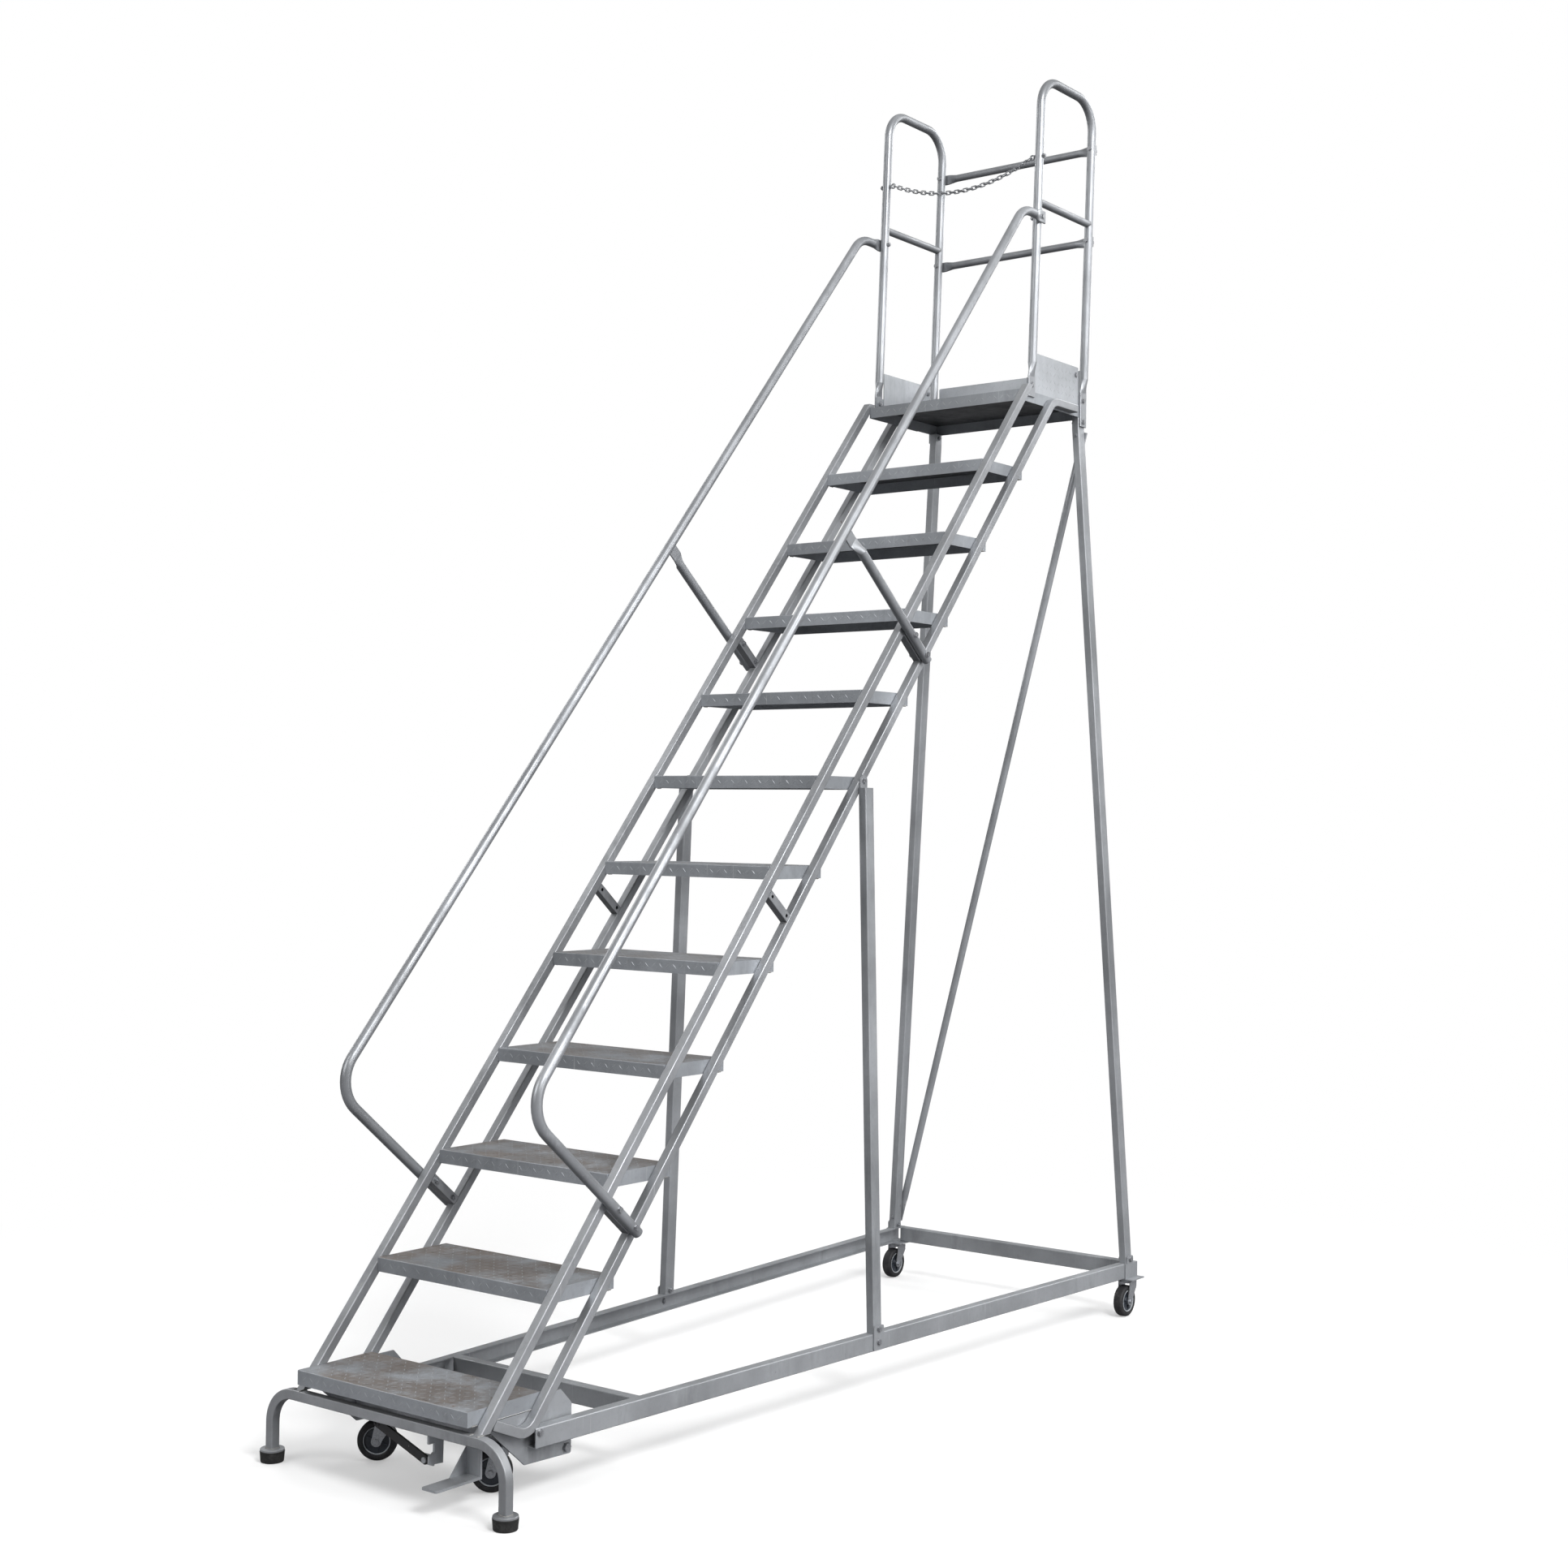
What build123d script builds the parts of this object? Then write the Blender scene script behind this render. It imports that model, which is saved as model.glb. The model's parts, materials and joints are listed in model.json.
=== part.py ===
"""Rolling warehouse ladder: twelve levels, two-tube stringers, splayed base and four swivel casters.

Frame: X to the climber's right, Y in the direction of climb, Z up, floor at Z = 0.
Lengths are in millimetres.  The origin is the middle of the footprint, on the floor.
"""
from math import atan2, cos, degrees, hypot, radians, sin
import os

from build123d import *

# ---- driving dimensions -------------------------------------------------------------------
RISE = 250.0              # height between two steps
RUN = 210.0               # depth between two steps
STEP_COUNT = 11           # steps below the platform
STEP_WIDTH = 590.0        # between the two stringer pairs
STEP_DEPTH = 240.0        # front lip to rear lip of one step
LIP = 36.0                # height of the folded edge of steps and platform
SHEET = 2.5               # folded sheet
FIRST_STEP_Y = -44.0      # front lip of the lowest step
FIRST_STEP_Z = 247.0      # top of the lowest step
SECOND_STEP_Y = 210.0     # front lip of the second step, start of the regular pitch
SECOND_STEP_Z = 484.0     # top of the second step
PLATFORM_RUN = 234.0      # front edge of the platform behind the lip of the last step
PLATFORM_RISE = 256.0     # platform above the last step
PLATFORM_DEPTH = 404.0
TOE_HEIGHT = 127.0        # kick plates and rear toe board above the platform
TUBE = 25.0               # square tube of stringers, foot bar and brackets
TUBE_WALL = 2.0
TUBE_CORNER = 3.0
FRONT_STRINGER = 18.5     # stringer centre lines behind the line of the front lips
REAR_STRINGER = 152.5
STRINGER_HEAD = 13.0      # front stringers above the platform
HAIRPIN_LOW = 27.5        # lower end of a rear stringer above the foot bar
HAIRPIN_DROP = 15.0       # its lower corner below the top of the side channels
HAIRPIN_BEND = 52.0
HAIRPIN_REACH = 150.0     # level run under the platform
ROUND = 14.0              # radius of the round tube
ROUND_WALL = 2.0
FLAT = 6.0                # thickness of a flattened tube end
RAIL_HEIGHT = 49.0        # base channels
RAIL_DEPTH = 28.0
RAIL_SHEET = 3.0
RAIL_BOTTOM = 124.0
RAIL_FRONT_Y = 152.0      # front end of the side channels
RAIL_OVERHANG = 84.0      # side channels behind the platform
RAIL_SPREAD = 151.0       # outward splay of a side channel over its length
CROSS_RAIL_Y = 500.0      # front face of the front cross channel
PLATE = 5.0               # side plates and brackets
STRUT_X = 25.0            # struts across
STRUT_Y = 40.0            # struts along
STRUT_WALL = 2.0
MID_STRUT_Y = 1450.0
LUG_DROP = 22.0           # middle strut below its bolt
LUG_MARGIN = 3.0          # lug narrower than the strut, each side
REAR_STRUT_SETBACK = 22.0 # top of a rear strut in front of the rear edge of the platform
REAR_FOOT_SETBACK = 44.0  # its foot in front of the rear end of the side channel
FOOT_BAR_Y = -28.0        # centre line of the bent foot bar
FOOT_BAR_Z = 180.5
FOOT_SPREAD = 85.0        # centre of a rubber foot outside the stringers
FOOT_BEND = 80.0
FOOT_RADIUS = 31.0
FOOT_HEIGHT = 28.0
FOOT_TAPER = 2.0          # rubber foot narrower at the floor
FOOT_PLATE_INSET = 1.0
GUARD_FRONT = 54.0        # front guard post behind the front edge of the platform
GUARD_REAR = 19.0         # rear guard post in front of the rear edge of the platform
GUARD_LEAN = 0.045        # backward lean of the guard posts per unit of height
GUARD_HEIGHT = 1022.0     # centre line of the top run above the platform
GUARD_BEND = 95.0
MID_RAIL_HEIGHT = 615.0
UPPER_BAR_HEIGHT = 870.0
LOWER_BAR_HEIGHT = 560.0
HANDRAIL_OFFSET = 375.0   # handrail above the line of the front lips
HANDRAIL_HEIGHT = 563.0   # top end of the handrails above the platform
HANDRAIL_BEND = 95.0
BRACKET_DROP = 68.5       # brackets below the next step, along the slope
BRACKET_STEPS = 3         # steps between two brackets
BRACKET_HOLES = 82.0      # spacing of the two bracket holes
BRACKET_HOLE = 5.0        # radius of a bracket hole
WHEEL_RADIUS = 50.0
WHEEL_WIDTH = 32.0
CASTER_TRAIL = 20.0
CASTER_PLATE = 80.0       # square mounting plate of a caster
CASTER_SHEET = 4.0
CASTER_TOP = RAIL_BOTTOM  # top of the caster plates above the floor
REAR_CASTER_INSET = 16.0  # rear caster inside the outer face of the side channel
REAR_CASTER_SETBACK = 30.0
FRONT_CASTER_X = 200.0
FRONT_CASTER_Y = 160.0
FRONT_CASTER_TURN = -52.6 # rest heading of the two front casters
PIVOT_Y = 286.0           # pivot of the front caster carriage
PIVOT_Z = 96.0
PIVOT_RADIUS = 6.0
PEDAL_X = 211.0
PEDAL_TIP_Y = -82.0
PEDAL_Z = 65.0            # top of the pedal bar
HOOK_X = 145.0
LEVER_X = 124.0           # pivot of the latch lever
LEVER_Z = 100.0
LEVER_LENGTH = 176.0
LEVER_RISE = 19.0         # rest angle of the lever above the horizontal
CHAIN_HEIGHT = 762.0      # ends of the chain above the platform
CHAIN_SAG = 62.0
CHAIN_WIRE = 4.0
BOLT_RADIUS = 4.0
HEX_RADIUS = 7.5          # corner radius of bolt heads and nuts
HEAD_HEIGHT = 5.3
NUT_HEIGHT = 6.5
THREAD_END = 3.0
HOLE_GAP = 0.1
FIT = 0.05
WELD_GAP = 0.02
END_PLUG = 3.0            # plugs in the open tube ends
PLUG_INSET = 0.5
SHEET_CORNER = 4.0        # rounded corners of upright sheets
SEAT_PLAY = 0.5           # bolt heads off a splayed face
STRUT_PLAY = 1.0          # strut feet inside the outer face of the side channel
BOLT_EDGE = 12.0          # lowest strut bolts above the channel, rail bolts below its top

# ---- derived values ------------------------------------------------------------------------
PITCH = hypot(RUN, RISE)
ALONG = (RUN / PITCH, RISE / PITCH)
STEP_X = STEP_WIDTH / 2
STRINGER_X = STEP_X + TUBE / 2
OUTER_X = STEP_X + TUBE
PLATFORM_Y = SECOND_STEP_Y + (STEP_COUNT - 2) * RUN + PLATFORM_RUN
PLATFORM_Z = SECOND_STEP_Z + (STEP_COUNT - 2) * RISE + PLATFORM_RISE
RAIL_REAR_Y = PLATFORM_Y + PLATFORM_DEPTH + RAIL_OVERHANG
RAIL_FRONT_X = OUTER_X + RAIL_SHEET
RAIL_REAR_X = RAIL_FRONT_X + RAIL_SPREAD
REAR_STRUT_TOP_Y = PLATFORM_Y + PLATFORM_DEPTH - REAR_STRUT_SETBACK
REAR_STRUT_FOOT_Y = RAIL_REAR_Y - REAR_FOOT_SETBACK
REAR_CASTER_X = RAIL_REAR_X - REAR_CASTER_INSET
REAR_CASTER_Y = RAIL_REAR_Y - REAR_CASTER_SETBACK
FOOT_X = OUTER_X + FOOT_SPREAD
GUARD_FRONT_Y = PLATFORM_Y + GUARD_FRONT
GUARD_REAR_Y = PLATFORM_Y + PLATFORM_DEPTH - GUARD_REAR
GUARD_TOP = PLATFORM_Z + GUARD_HEIGHT
MID_RAIL_Z = PLATFORM_Z + MID_RAIL_HEIGHT
UPPER_BAR_Z = PLATFORM_Z + UPPER_BAR_HEIGHT
LOWER_BAR_Z = PLATFORM_Z + LOWER_BAR_HEIGHT
HANDRAIL_TOP_Z = PLATFORM_Z + HANDRAIL_HEIGHT
CHAIN_Z = PLATFORM_Z + CHAIN_HEIGHT
BRACKET_FIRST = PITCH - BRACKET_DROP
ORIGIN_Y = (PEDAL_TIP_Y + REAR_CASTER_Y + CASTER_PLATE / 2) / 2
SPLAY = (RAIL_REAR_X - RAIL_FRONT_X) / (RAIL_REAR_Y - RAIL_FRONT_Y)
SPLAY_ANGLE = degrees(atan2(RAIL_REAR_X - RAIL_FRONT_X, RAIL_REAR_Y - RAIL_FRONT_Y))
RAIL_TOP = RAIL_BOTTOM + RAIL_HEIGHT
FLAT_CORNER = FLAT / 2 - HOLE_GAP
POST_X = STEP_X + FLAT / 2
HANDRAIL_LOW_X = OUTER_X + ROUND
HANDRAIL_TOP_X = POST_X + ROUND + FLAT / 2
pieces = {}


def slope_point(behind, along):
    """Point in the side view, measured from the lip of the second step."""
    y = SECOND_STEP_Y + behind * ALONG[1] + along * ALONG[0]
    z = SECOND_STEP_Z - behind * ALONG[0] + along * ALONG[1]
    return y, z


def slope_y(behind, z):
    """Y of the line parallel to the stringers at height z."""
    return SECOND_STEP_Y + (behind * PITCH + (z - SECOND_STEP_Z) * RUN) / RISE


def slope_z(behind, y):
    """Height of the line parallel to the stringers at y."""
    return SECOND_STEP_Z + ((y - SECOND_STEP_Y) * RISE - behind * PITCH) / RUN


def rail_x(y):
    """Outer face of the right side channel at y."""
    return RAIL_FRONT_X + (y - RAIL_FRONT_Y) * SPLAY


def post_y(foot_y, z):
    """Centre line of a leaning guard post at height z."""
    return foot_y + (z - PLATFORM_Z) * GUARD_LEAN


def drill_x(x, y, z, radius, length):
    """Round hole along X in the part under construction."""
    with Locations(Location((x, y, z), (0, 90, 0))):
        Cylinder(radius, length, mode=Mode.SUBTRACT)


def drill_y(x, y, z, radius, length):
    """Round hole along Y in the part under construction."""
    with Locations(Location((x, y, z), (90, 0, 0))):
        Cylinder(radius, length, mode=Mode.SUBTRACT)


def flat_end(start, radius, width, taper, reach, shift=0.0):
    """Flattened tube end: a taper from the round tube, then a flat tongue, in the part under construction."""
    with BuildSketch(start) as round_section:
        Circle(radius)
    with BuildSketch(start.offset(taper)) as flat_section:
        with Locations((shift, 0)):
            RectangleRounded(FLAT, width, FLAT_CORNER)
    loft([round_section.sketch, flat_section.sketch])
    extrude(flat_section.sketch, amount=reach)


def bolt(point, outward, grip):
    """Hex bolt, shank and nut through a grip below a point on the outer face."""
    seat = Plane(point, z_dir=outward)
    with BuildSketch(seat) as shank:
        Circle(BOLT_RADIUS)
    extrude(shank.sketch, amount=-(grip + NUT_HEIGHT + THREAD_END))
    with BuildSketch(seat) as head:
        RegularPolygon(HEX_RADIUS, 6)
    extrude(head.sketch, amount=HEAD_HEIGHT)
    with BuildSketch(seat.offset(-grip)) as nut:
        RegularPolygon(HEX_RADIUS, 6)
    extrude(nut.sketch, amount=-NUT_HEIGHT)


def mirrored(builder):
    """Left-hand copy of a right-hand piece."""
    with BuildPart() as other:
        mirror(builder.part, about=Plane.YZ)
    return other


def keep(name, builder):
    """Register a finished piece."""
    pieces[name] = builder


def sides():
    """Left and right side of the ladder."""
    return (("left", -1), ("right", 1))


# ---- feet and foot bar ---------------------------------------------------------------------
LEG_END = FOOT_HEIGHT + PLATE
with BuildPart() as foot_bar:
    with BuildLine() as bar_line:
        FilletPolyline(
            (-FOOT_X, FOOT_BAR_Y, LEG_END),
            (-FOOT_X, FOOT_BAR_Y, FOOT_BAR_Z),
            (FOOT_X, FOOT_BAR_Y, FOOT_BAR_Z),
            (FOOT_X, FOOT_BAR_Y, LEG_END),
            radius=FOOT_BEND,
        )
    with BuildSketch(Plane((-FOOT_X, FOOT_BAR_Y, LEG_END), x_dir=(1, 0, 0), z_dir=(0, 0, 1))):
        RectangleRounded(TUBE, TUBE, TUBE_CORNER)
        RectangleRounded(
            TUBE - 2 * TUBE_WALL, TUBE - 2 * TUBE_WALL, TUBE_CORNER - TUBE_WALL, mode=Mode.SUBTRACT
        )
    sweep(path=bar_line.line)
keep("foot_bar", foot_bar)

with BuildPart() as foot_plates:
    with BuildSketch(Plane.XY.offset(FOOT_HEIGHT)):
        with Locations((-FOOT_X, FOOT_BAR_Y), (FOOT_X, FOOT_BAR_Y)):
            Circle(FOOT_RADIUS - FOOT_PLATE_INSET)
    extrude(amount=PLATE)
    chamfer(foot_plates.edges().group_by(Axis.Z)[-1], FOOT_PLATE_INSET)
keep("foot_plates", foot_plates)

for side, sign in sides():
    with BuildPart() as rubber_foot:
        with BuildSketch(Plane.XY):
            with Locations((sign * FOOT_X, FOOT_BAR_Y)):
                Circle(FOOT_RADIUS - FOOT_TAPER)
        with BuildSketch(Plane.XY.offset(FOOT_HEIGHT)):
            with Locations((sign * FOOT_X, FOOT_BAR_Y)):
                Circle(FOOT_RADIUS)
        loft()
        chamfer(rubber_foot.edges().group_by(Axis.Z)[0], FOOT_TAPER)
    keep(f"rubber_foot_{side}", rubber_foot)

# ---- stringers -----------------------------------------------------------------------------
FRONT_FOOT_Z = FOOT_BAR_Z + TUBE / 2
FRONT_TOP_Z = PLATFORM_Z + STRINGER_HEAD
REAR_TOP_Z = PLATFORM_Z - LIP / 2
U_FRONT_Z = FOOT_BAR_Z + HAIRPIN_LOW
U_CORNER_Z = RAIL_TOP - HAIRPIN_DROP
U_FRONT = (slope_y(FRONT_STRINGER + TUBE / 2, U_FRONT_Z), U_FRONT_Z)
U_CORNER = (slope_y(REAR_STRINGER, U_CORNER_Z), U_CORNER_Z)
HAIRPIN_END_Y = slope_y(REAR_STRINGER, REAR_TOP_Z) + HAIRPIN_REACH
LUG_Y = MID_STRUT_Y
LUG_Z = slope_z(REAR_STRINGER, LUG_Y)
MID_STRUT_TOP = LUG_Z - LUG_DROP
for side, sign in sides():
    with BuildPart() as front_stringer:
        for wall, mode in ((0.0, Mode.ADD), (TUBE_WALL, Mode.SUBTRACT)):
            half = TUBE / 2 - wall
            with BuildSketch(Plane.YZ.offset(sign * STRINGER_X - half)):
                with BuildLine():
                    Polyline(
                        (slope_y(FRONT_STRINGER - half, FRONT_FOOT_Z), FRONT_FOOT_Z),
                        (slope_y(FRONT_STRINGER + half, FRONT_FOOT_Z), FRONT_FOOT_Z),
                        (slope_y(FRONT_STRINGER + half, FRONT_TOP_Z - wall), FRONT_TOP_Z - wall),
                        (slope_y(FRONT_STRINGER - half, FRONT_TOP_Z - wall), FRONT_TOP_Z - wall),
                        close=True,
                    )
                make_face()
            extrude(amount=2 * half, mode=mode)
            if mode == Mode.ADD:
                long_edges = front_stringer.edges().filter_by(lambda edge: edge.length > RISE * STEP_COUNT)
                fillet(long_edges, TUBE_CORNER)
    keep(f"front_stringer_{side}", front_stringer)
    with BuildPart() as rear_stringer:
        with BuildLine() as hairpin:
            FilletPolyline(
                (sign * STRINGER_X, *U_FRONT),
                (sign * STRINGER_X, *U_CORNER),
                (sign * STRINGER_X, slope_y(REAR_STRINGER, REAR_TOP_Z), REAR_TOP_Z),
                (sign * STRINGER_X, HAIRPIN_END_Y, REAR_TOP_Z),
                radius=HAIRPIN_BEND,
            )
        with BuildSketch(Plane(hairpin.line @ 0, x_dir=(1, 0, 0), z_dir=hairpin.line % 0)):
            RectangleRounded(TUBE, TUBE, TUBE_CORNER)
            RectangleRounded(TUBE - 2 * TUBE_WALL, TUBE - 2 * TUBE_WALL, TUBE_CORNER - TUBE_WALL,
                             mode=Mode.SUBTRACT)
        sweep(path=hairpin.line)
        upper_face = (0, *slope_point(FRONT_STRINGER + TUBE / 2, 0.0))
        split(bisect_by=Plane(upper_face, z_dir=(0, ALONG[1], -ALONG[0])))
        drill_x(sign * OUTER_X, LUG_Y, LUG_Z, BOLT_RADIUS + HOLE_GAP, TUBE)
    keep(f"rear_stringer_{side}", rear_stringer)

# ---- steps ---------------------------------------------------------------------------------
for number in range(1, STEP_COUNT + 1):
    if number == 1:
        step_y = FIRST_STEP_Y
        step_z = FIRST_STEP_Z
    else:
        step_y = SECOND_STEP_Y + (number - 2) * RUN
        step_z = SECOND_STEP_Z + (number - 2) * RISE
    with BuildPart() as step:
        with BuildSketch(Plane.XY.offset(step_z - LIP)):
            with Locations((0, step_y + STEP_DEPTH / 2)):
                Rectangle(STEP_WIDTH, STEP_DEPTH)
        extrude(amount=LIP)
        top_edges = step.faces().sort_by(Axis.Z)[-1].edges()
        fillet(top_edges.filter_by(Axis.X), SHEET)
        with BuildSketch(Plane.XY.offset(step_z - LIP)):
            with Locations((0, step_y + STEP_DEPTH / 2)):
                Rectangle(STEP_WIDTH - 2 * SHEET, STEP_DEPTH - 2 * SHEET)
        extrude(amount=LIP - SHEET, mode=Mode.SUBTRACT)
    keep(f"step_{number}", step)

# ---- platform ------------------------------------------------------------------------------
PLATFORM_MID_Y = PLATFORM_Y + PLATFORM_DEPTH / 2
EAR_TOP = PLATFORM_Z + 40.0
EAR_BOLT_Z = PLATFORM_Z + 20.0
EAR_WIDTH = 44.0
REAR_EAR_Y = GUARD_REAR_Y - 3.0
with BuildPart() as platform_deck:
    with BuildSketch(Plane.XY.offset(PLATFORM_Z - LIP)):
        with Locations((0, PLATFORM_MID_Y)):
            Rectangle(STEP_WIDTH, PLATFORM_DEPTH)
    extrude(amount=LIP)
    with BuildSketch(Plane.XY.offset(PLATFORM_Z - LIP)):
        with Locations((0, PLATFORM_MID_Y)):
            Rectangle(STEP_WIDTH - 2 * SHEET, PLATFORM_DEPTH - 2 * SHEET)
    extrude(amount=LIP - SHEET, mode=Mode.SUBTRACT)
    for foot_y in (GUARD_FRONT_Y, REAR_EAR_Y):
        with BuildSketch(Plane.XY.offset(PLATFORM_Z)):
            with Locations((STEP_X - SHEET / 2, foot_y), (-STEP_X + SHEET / 2, foot_y)):
                Rectangle(SHEET, EAR_WIDTH)
        extrude(amount=EAR_TOP - PLATFORM_Z)
        drill_x(0, foot_y, EAR_BOLT_Z, BOLT_RADIUS + HOLE_GAP, 2 * OUTER_X)
keep("platform_deck", platform_deck)

EAR_GAP = 2.0
KICK_BOLT_INSET = 16.0
KICK_BOLT_DROP = 26.0
TOE_FRONT_Y = GUARD_FRONT_Y + EAR_WIDTH / 2 + EAR_GAP
TOE_REAR_Y = GUARD_REAR_Y - EAR_WIDTH / 2 - 3 * EAR_GAP
KICK_BOLT_Y = TOE_REAR_Y - KICK_BOLT_INSET
KICK_BOLT_Z = PLATFORM_Z + TOE_HEIGHT - KICK_BOLT_DROP
for side, sign in sides():
    with BuildPart() as kick_plate:
        with BuildSketch(Plane.YZ.offset(sign * STEP_X - (SHEET if sign > 0 else 0.0))):
            with BuildLine():
                Polyline(
                    (TOE_FRONT_Y, PLATFORM_Z),
                    (TOE_REAR_Y, PLATFORM_Z),
                    (TOE_REAR_Y, PLATFORM_Z + TOE_HEIGHT),
                    (TOE_FRONT_Y, PLATFORM_Z + TOE_HEIGHT),
                    close=True,
                )
            make_face()
        extrude(amount=SHEET)
        upper_corners = kick_plate.edges().filter_by(Axis.X).group_by(Axis.Z)[-1]
        fillet(upper_corners, SHEET_CORNER)
        drill_x(sign * STEP_X, KICK_BOLT_Y, KICK_BOLT_Z, BOLT_RADIUS + HOLE_GAP, 4 * SHEET)
    keep(f"kick_plate_{side}", kick_plate)
with BuildPart() as toe_board:
    with BuildSketch(Plane.XZ.offset(-(PLATFORM_Y + PLATFORM_DEPTH))):
        with Locations((0, PLATFORM_Z + TOE_HEIGHT / 2)):
            Rectangle(2 * (POST_X - ROUND - EAR_GAP / 2), TOE_HEIGHT)
    extrude(amount=SHEET)
    fillet(toe_board.edges().filter_by(Axis.Y).group_by(Axis.Z)[-1], SHEET_CORNER)
keep("toe_board", toe_board)

# ---- guard loops ---------------------------------------------------------------------------
FRONT_FLAT_Z = PLATFORM_Z - 18.0
REAR_FLAT_Z = PLATFORM_Z - 66.0
FLAT_END_Z = PLATFORM_Z + 46.0
ROUND_START_Z = PLATFORM_Z + 92.0
STRUT_BOLT_Z = PLATFORM_Z - 50.0
TONGUE_WIDTH = 40.0
for side, sign in sides():
    loop_x = sign * POST_X
    with BuildPart() as guard_loop:
        with BuildLine() as loop_line:
            FilletPolyline(
                (loop_x, post_y(GUARD_FRONT_Y, ROUND_START_Z), ROUND_START_Z),
                (loop_x, post_y(GUARD_FRONT_Y, GUARD_TOP), GUARD_TOP),
                (loop_x, post_y(GUARD_REAR_Y, GUARD_TOP), GUARD_TOP),
                (loop_x, post_y(GUARD_REAR_Y, ROUND_START_Z), ROUND_START_Z),
                radius=GUARD_BEND,
            )
        with BuildSketch(Plane(loop_line.line @ 0, x_dir=(1, 0, 0), z_dir=loop_line.line % 0)):
            Circle(ROUND)
            Circle(ROUND - ROUND_WALL, mode=Mode.SUBTRACT)
        sweep(path=loop_line.line)
        ends = (
            (loop_line.line @ 0, loop_line.line % 0 * -1, GUARD_FRONT_Y, FRONT_FLAT_Z),
            (loop_line.line @ 1, loop_line.line % 1, GUARD_REAR_Y, REAR_FLAT_Z),
        )
        for end_point, end_direction, foot_y, flat_z in ends:
            with BuildSketch(Plane(end_point, x_dir=(1, 0, 0), z_dir=end_direction)) as round_section:
                Circle(ROUND)
            with BuildSketch(
                Plane((loop_x, foot_y, FLAT_END_Z), x_dir=(1, 0, 0), z_dir=(0, 0, -1))
            ) as tongue:
                RectangleRounded(FLAT, TONGUE_WIDTH, FLAT_CORNER)
            loft([round_section.sketch, tongue.sketch])
            extrude(tongue.sketch, amount=FLAT_END_Z - flat_z)
        drill_x(loop_x, GUARD_FRONT_Y, EAR_BOLT_Z, BOLT_RADIUS + HOLE_GAP, 3 * FLAT)
        drill_x(loop_x, REAR_EAR_Y, EAR_BOLT_Z, BOLT_RADIUS + HOLE_GAP, 3 * FLAT)
        drill_x(loop_x, REAR_STRUT_TOP_Y, STRUT_BOLT_Z, BOLT_RADIUS + HOLE_GAP, 3 * FLAT)
        for hole_z in (HANDRAIL_TOP_Z, CHAIN_Z):
            drill_x(loop_x, post_y(GUARD_FRONT_Y, hole_z), hole_z, BOLT_RADIUS + HOLE_GAP, 3 * ROUND)
        for hole_z in (LOWER_BAR_Z, UPPER_BAR_Z):
            drill_y(loop_x, post_y(GUARD_REAR_Y, hole_z), hole_z, BOLT_RADIUS + HOLE_GAP, 3 * ROUND)
    keep(f"guard_loop_{side}", guard_loop)

# ---- guard rails and rear bars --------------------------------------------------------------
MID_RAIL_RADIUS = 12.0
with BuildPart() as guard_mid_rails:
    for sign in (-1, 1):
        rail_start = post_y(GUARD_FRONT_Y, MID_RAIL_Z)
        rail_end = post_y(GUARD_REAR_Y, MID_RAIL_Z)
        with BuildSketch(Plane((sign * POST_X, rail_start, MID_RAIL_Z), x_dir=(1, 0, 0), z_dir=(0, 1, 0))):
            Circle(MID_RAIL_RADIUS)
            Circle(MID_RAIL_RADIUS - ROUND_WALL, mode=Mode.SUBTRACT)
        extrude(amount=rail_end - rail_start)
        for post in (rail_start, rail_end):
            with BuildSketch(
                Plane((sign * POST_X, post, MID_RAIL_Z), x_dir=(1, 0, 0), z_dir=(0, GUARD_LEAN, 1))
            ):
                Circle(ROUND + WELD_GAP)
            extrude(amount=2 * ROUND, both=True, mode=Mode.SUBTRACT)
keep("guard_mid_rails", guard_mid_rails)

BAR_RADIUS = 12.0
BAR_TONGUE = 34.0
BAR_TAPER = 33.0
BAR_FLAT = 20.0
BAR_TAPER_X = POST_X - BAR_TAPER - BAR_FLAT
TONGUE_EDGE = 8.0


def bar_y(z):
    """Centre plane of a rear bar bolted behind the leaning rear posts."""
    return post_y(GUARD_REAR_Y, z) + ROUND + FLAT / 2 + GUARD_LEAN * BAR_TONGUE / 2


with BuildPart() as rear_bars:
    for bar_z in (LOWER_BAR_Z, UPPER_BAR_Z):
        with BuildSketch(Plane((0, bar_y(bar_z), bar_z), x_dir=(0, 1, 0), z_dir=(1, 0, 0))):
            Circle(BAR_RADIUS)
            Circle(BAR_RADIUS - ROUND_WALL, mode=Mode.SUBTRACT)
        extrude(amount=BAR_TAPER_X, both=True)
        for sign in (-1, 1):
            bar_end = Plane((sign * BAR_TAPER_X, bar_y(bar_z), bar_z), x_dir=(0, 1, 0), z_dir=(sign, 0, 0))
            tongue_length = POST_X + TONGUE_EDGE - BAR_TAPER_X - BAR_TAPER
            flat_end(bar_end, BAR_RADIUS, BAR_TONGUE, BAR_TAPER, tongue_length)
            drill_y(sign * POST_X, bar_y(bar_z), bar_z, BOLT_RADIUS + HOLE_GAP, 3 * FLAT)
keep("rear_bars", rear_bars)

# ---- handrails and stays --------------------------------------------------------------------
BRACKETS = [BRACKET_FIRST + BRACKET_STEPS * PITCH * index for index in range(3)]
BRACKET_MID = (FRONT_STRINGER + REAR_STRINGER) / 2
HOLES = (BRACKET_MID - BRACKET_HOLES / 2, BRACKET_MID + BRACKET_HOLES / 2)
BOLT_MARGIN = 26.0
GRIP_TAPER = 30.0
GRIP_TONGUE = 34.0
GRIP_END = 46.0
TUBE_END = BRACKET_MID + BRACKET_HOLES / 2 + BOLT_MARGIN
HANDRAIL_POST_Y = post_y(GUARD_FRONT_Y, HANDRAIL_TOP_Z)
RAIL_RUN = (slope_y(-HANDRAIL_OFFSET, HANDRAIL_TOP_Z) - SECOND_STEP_Y) * ALONG[0]
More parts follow.
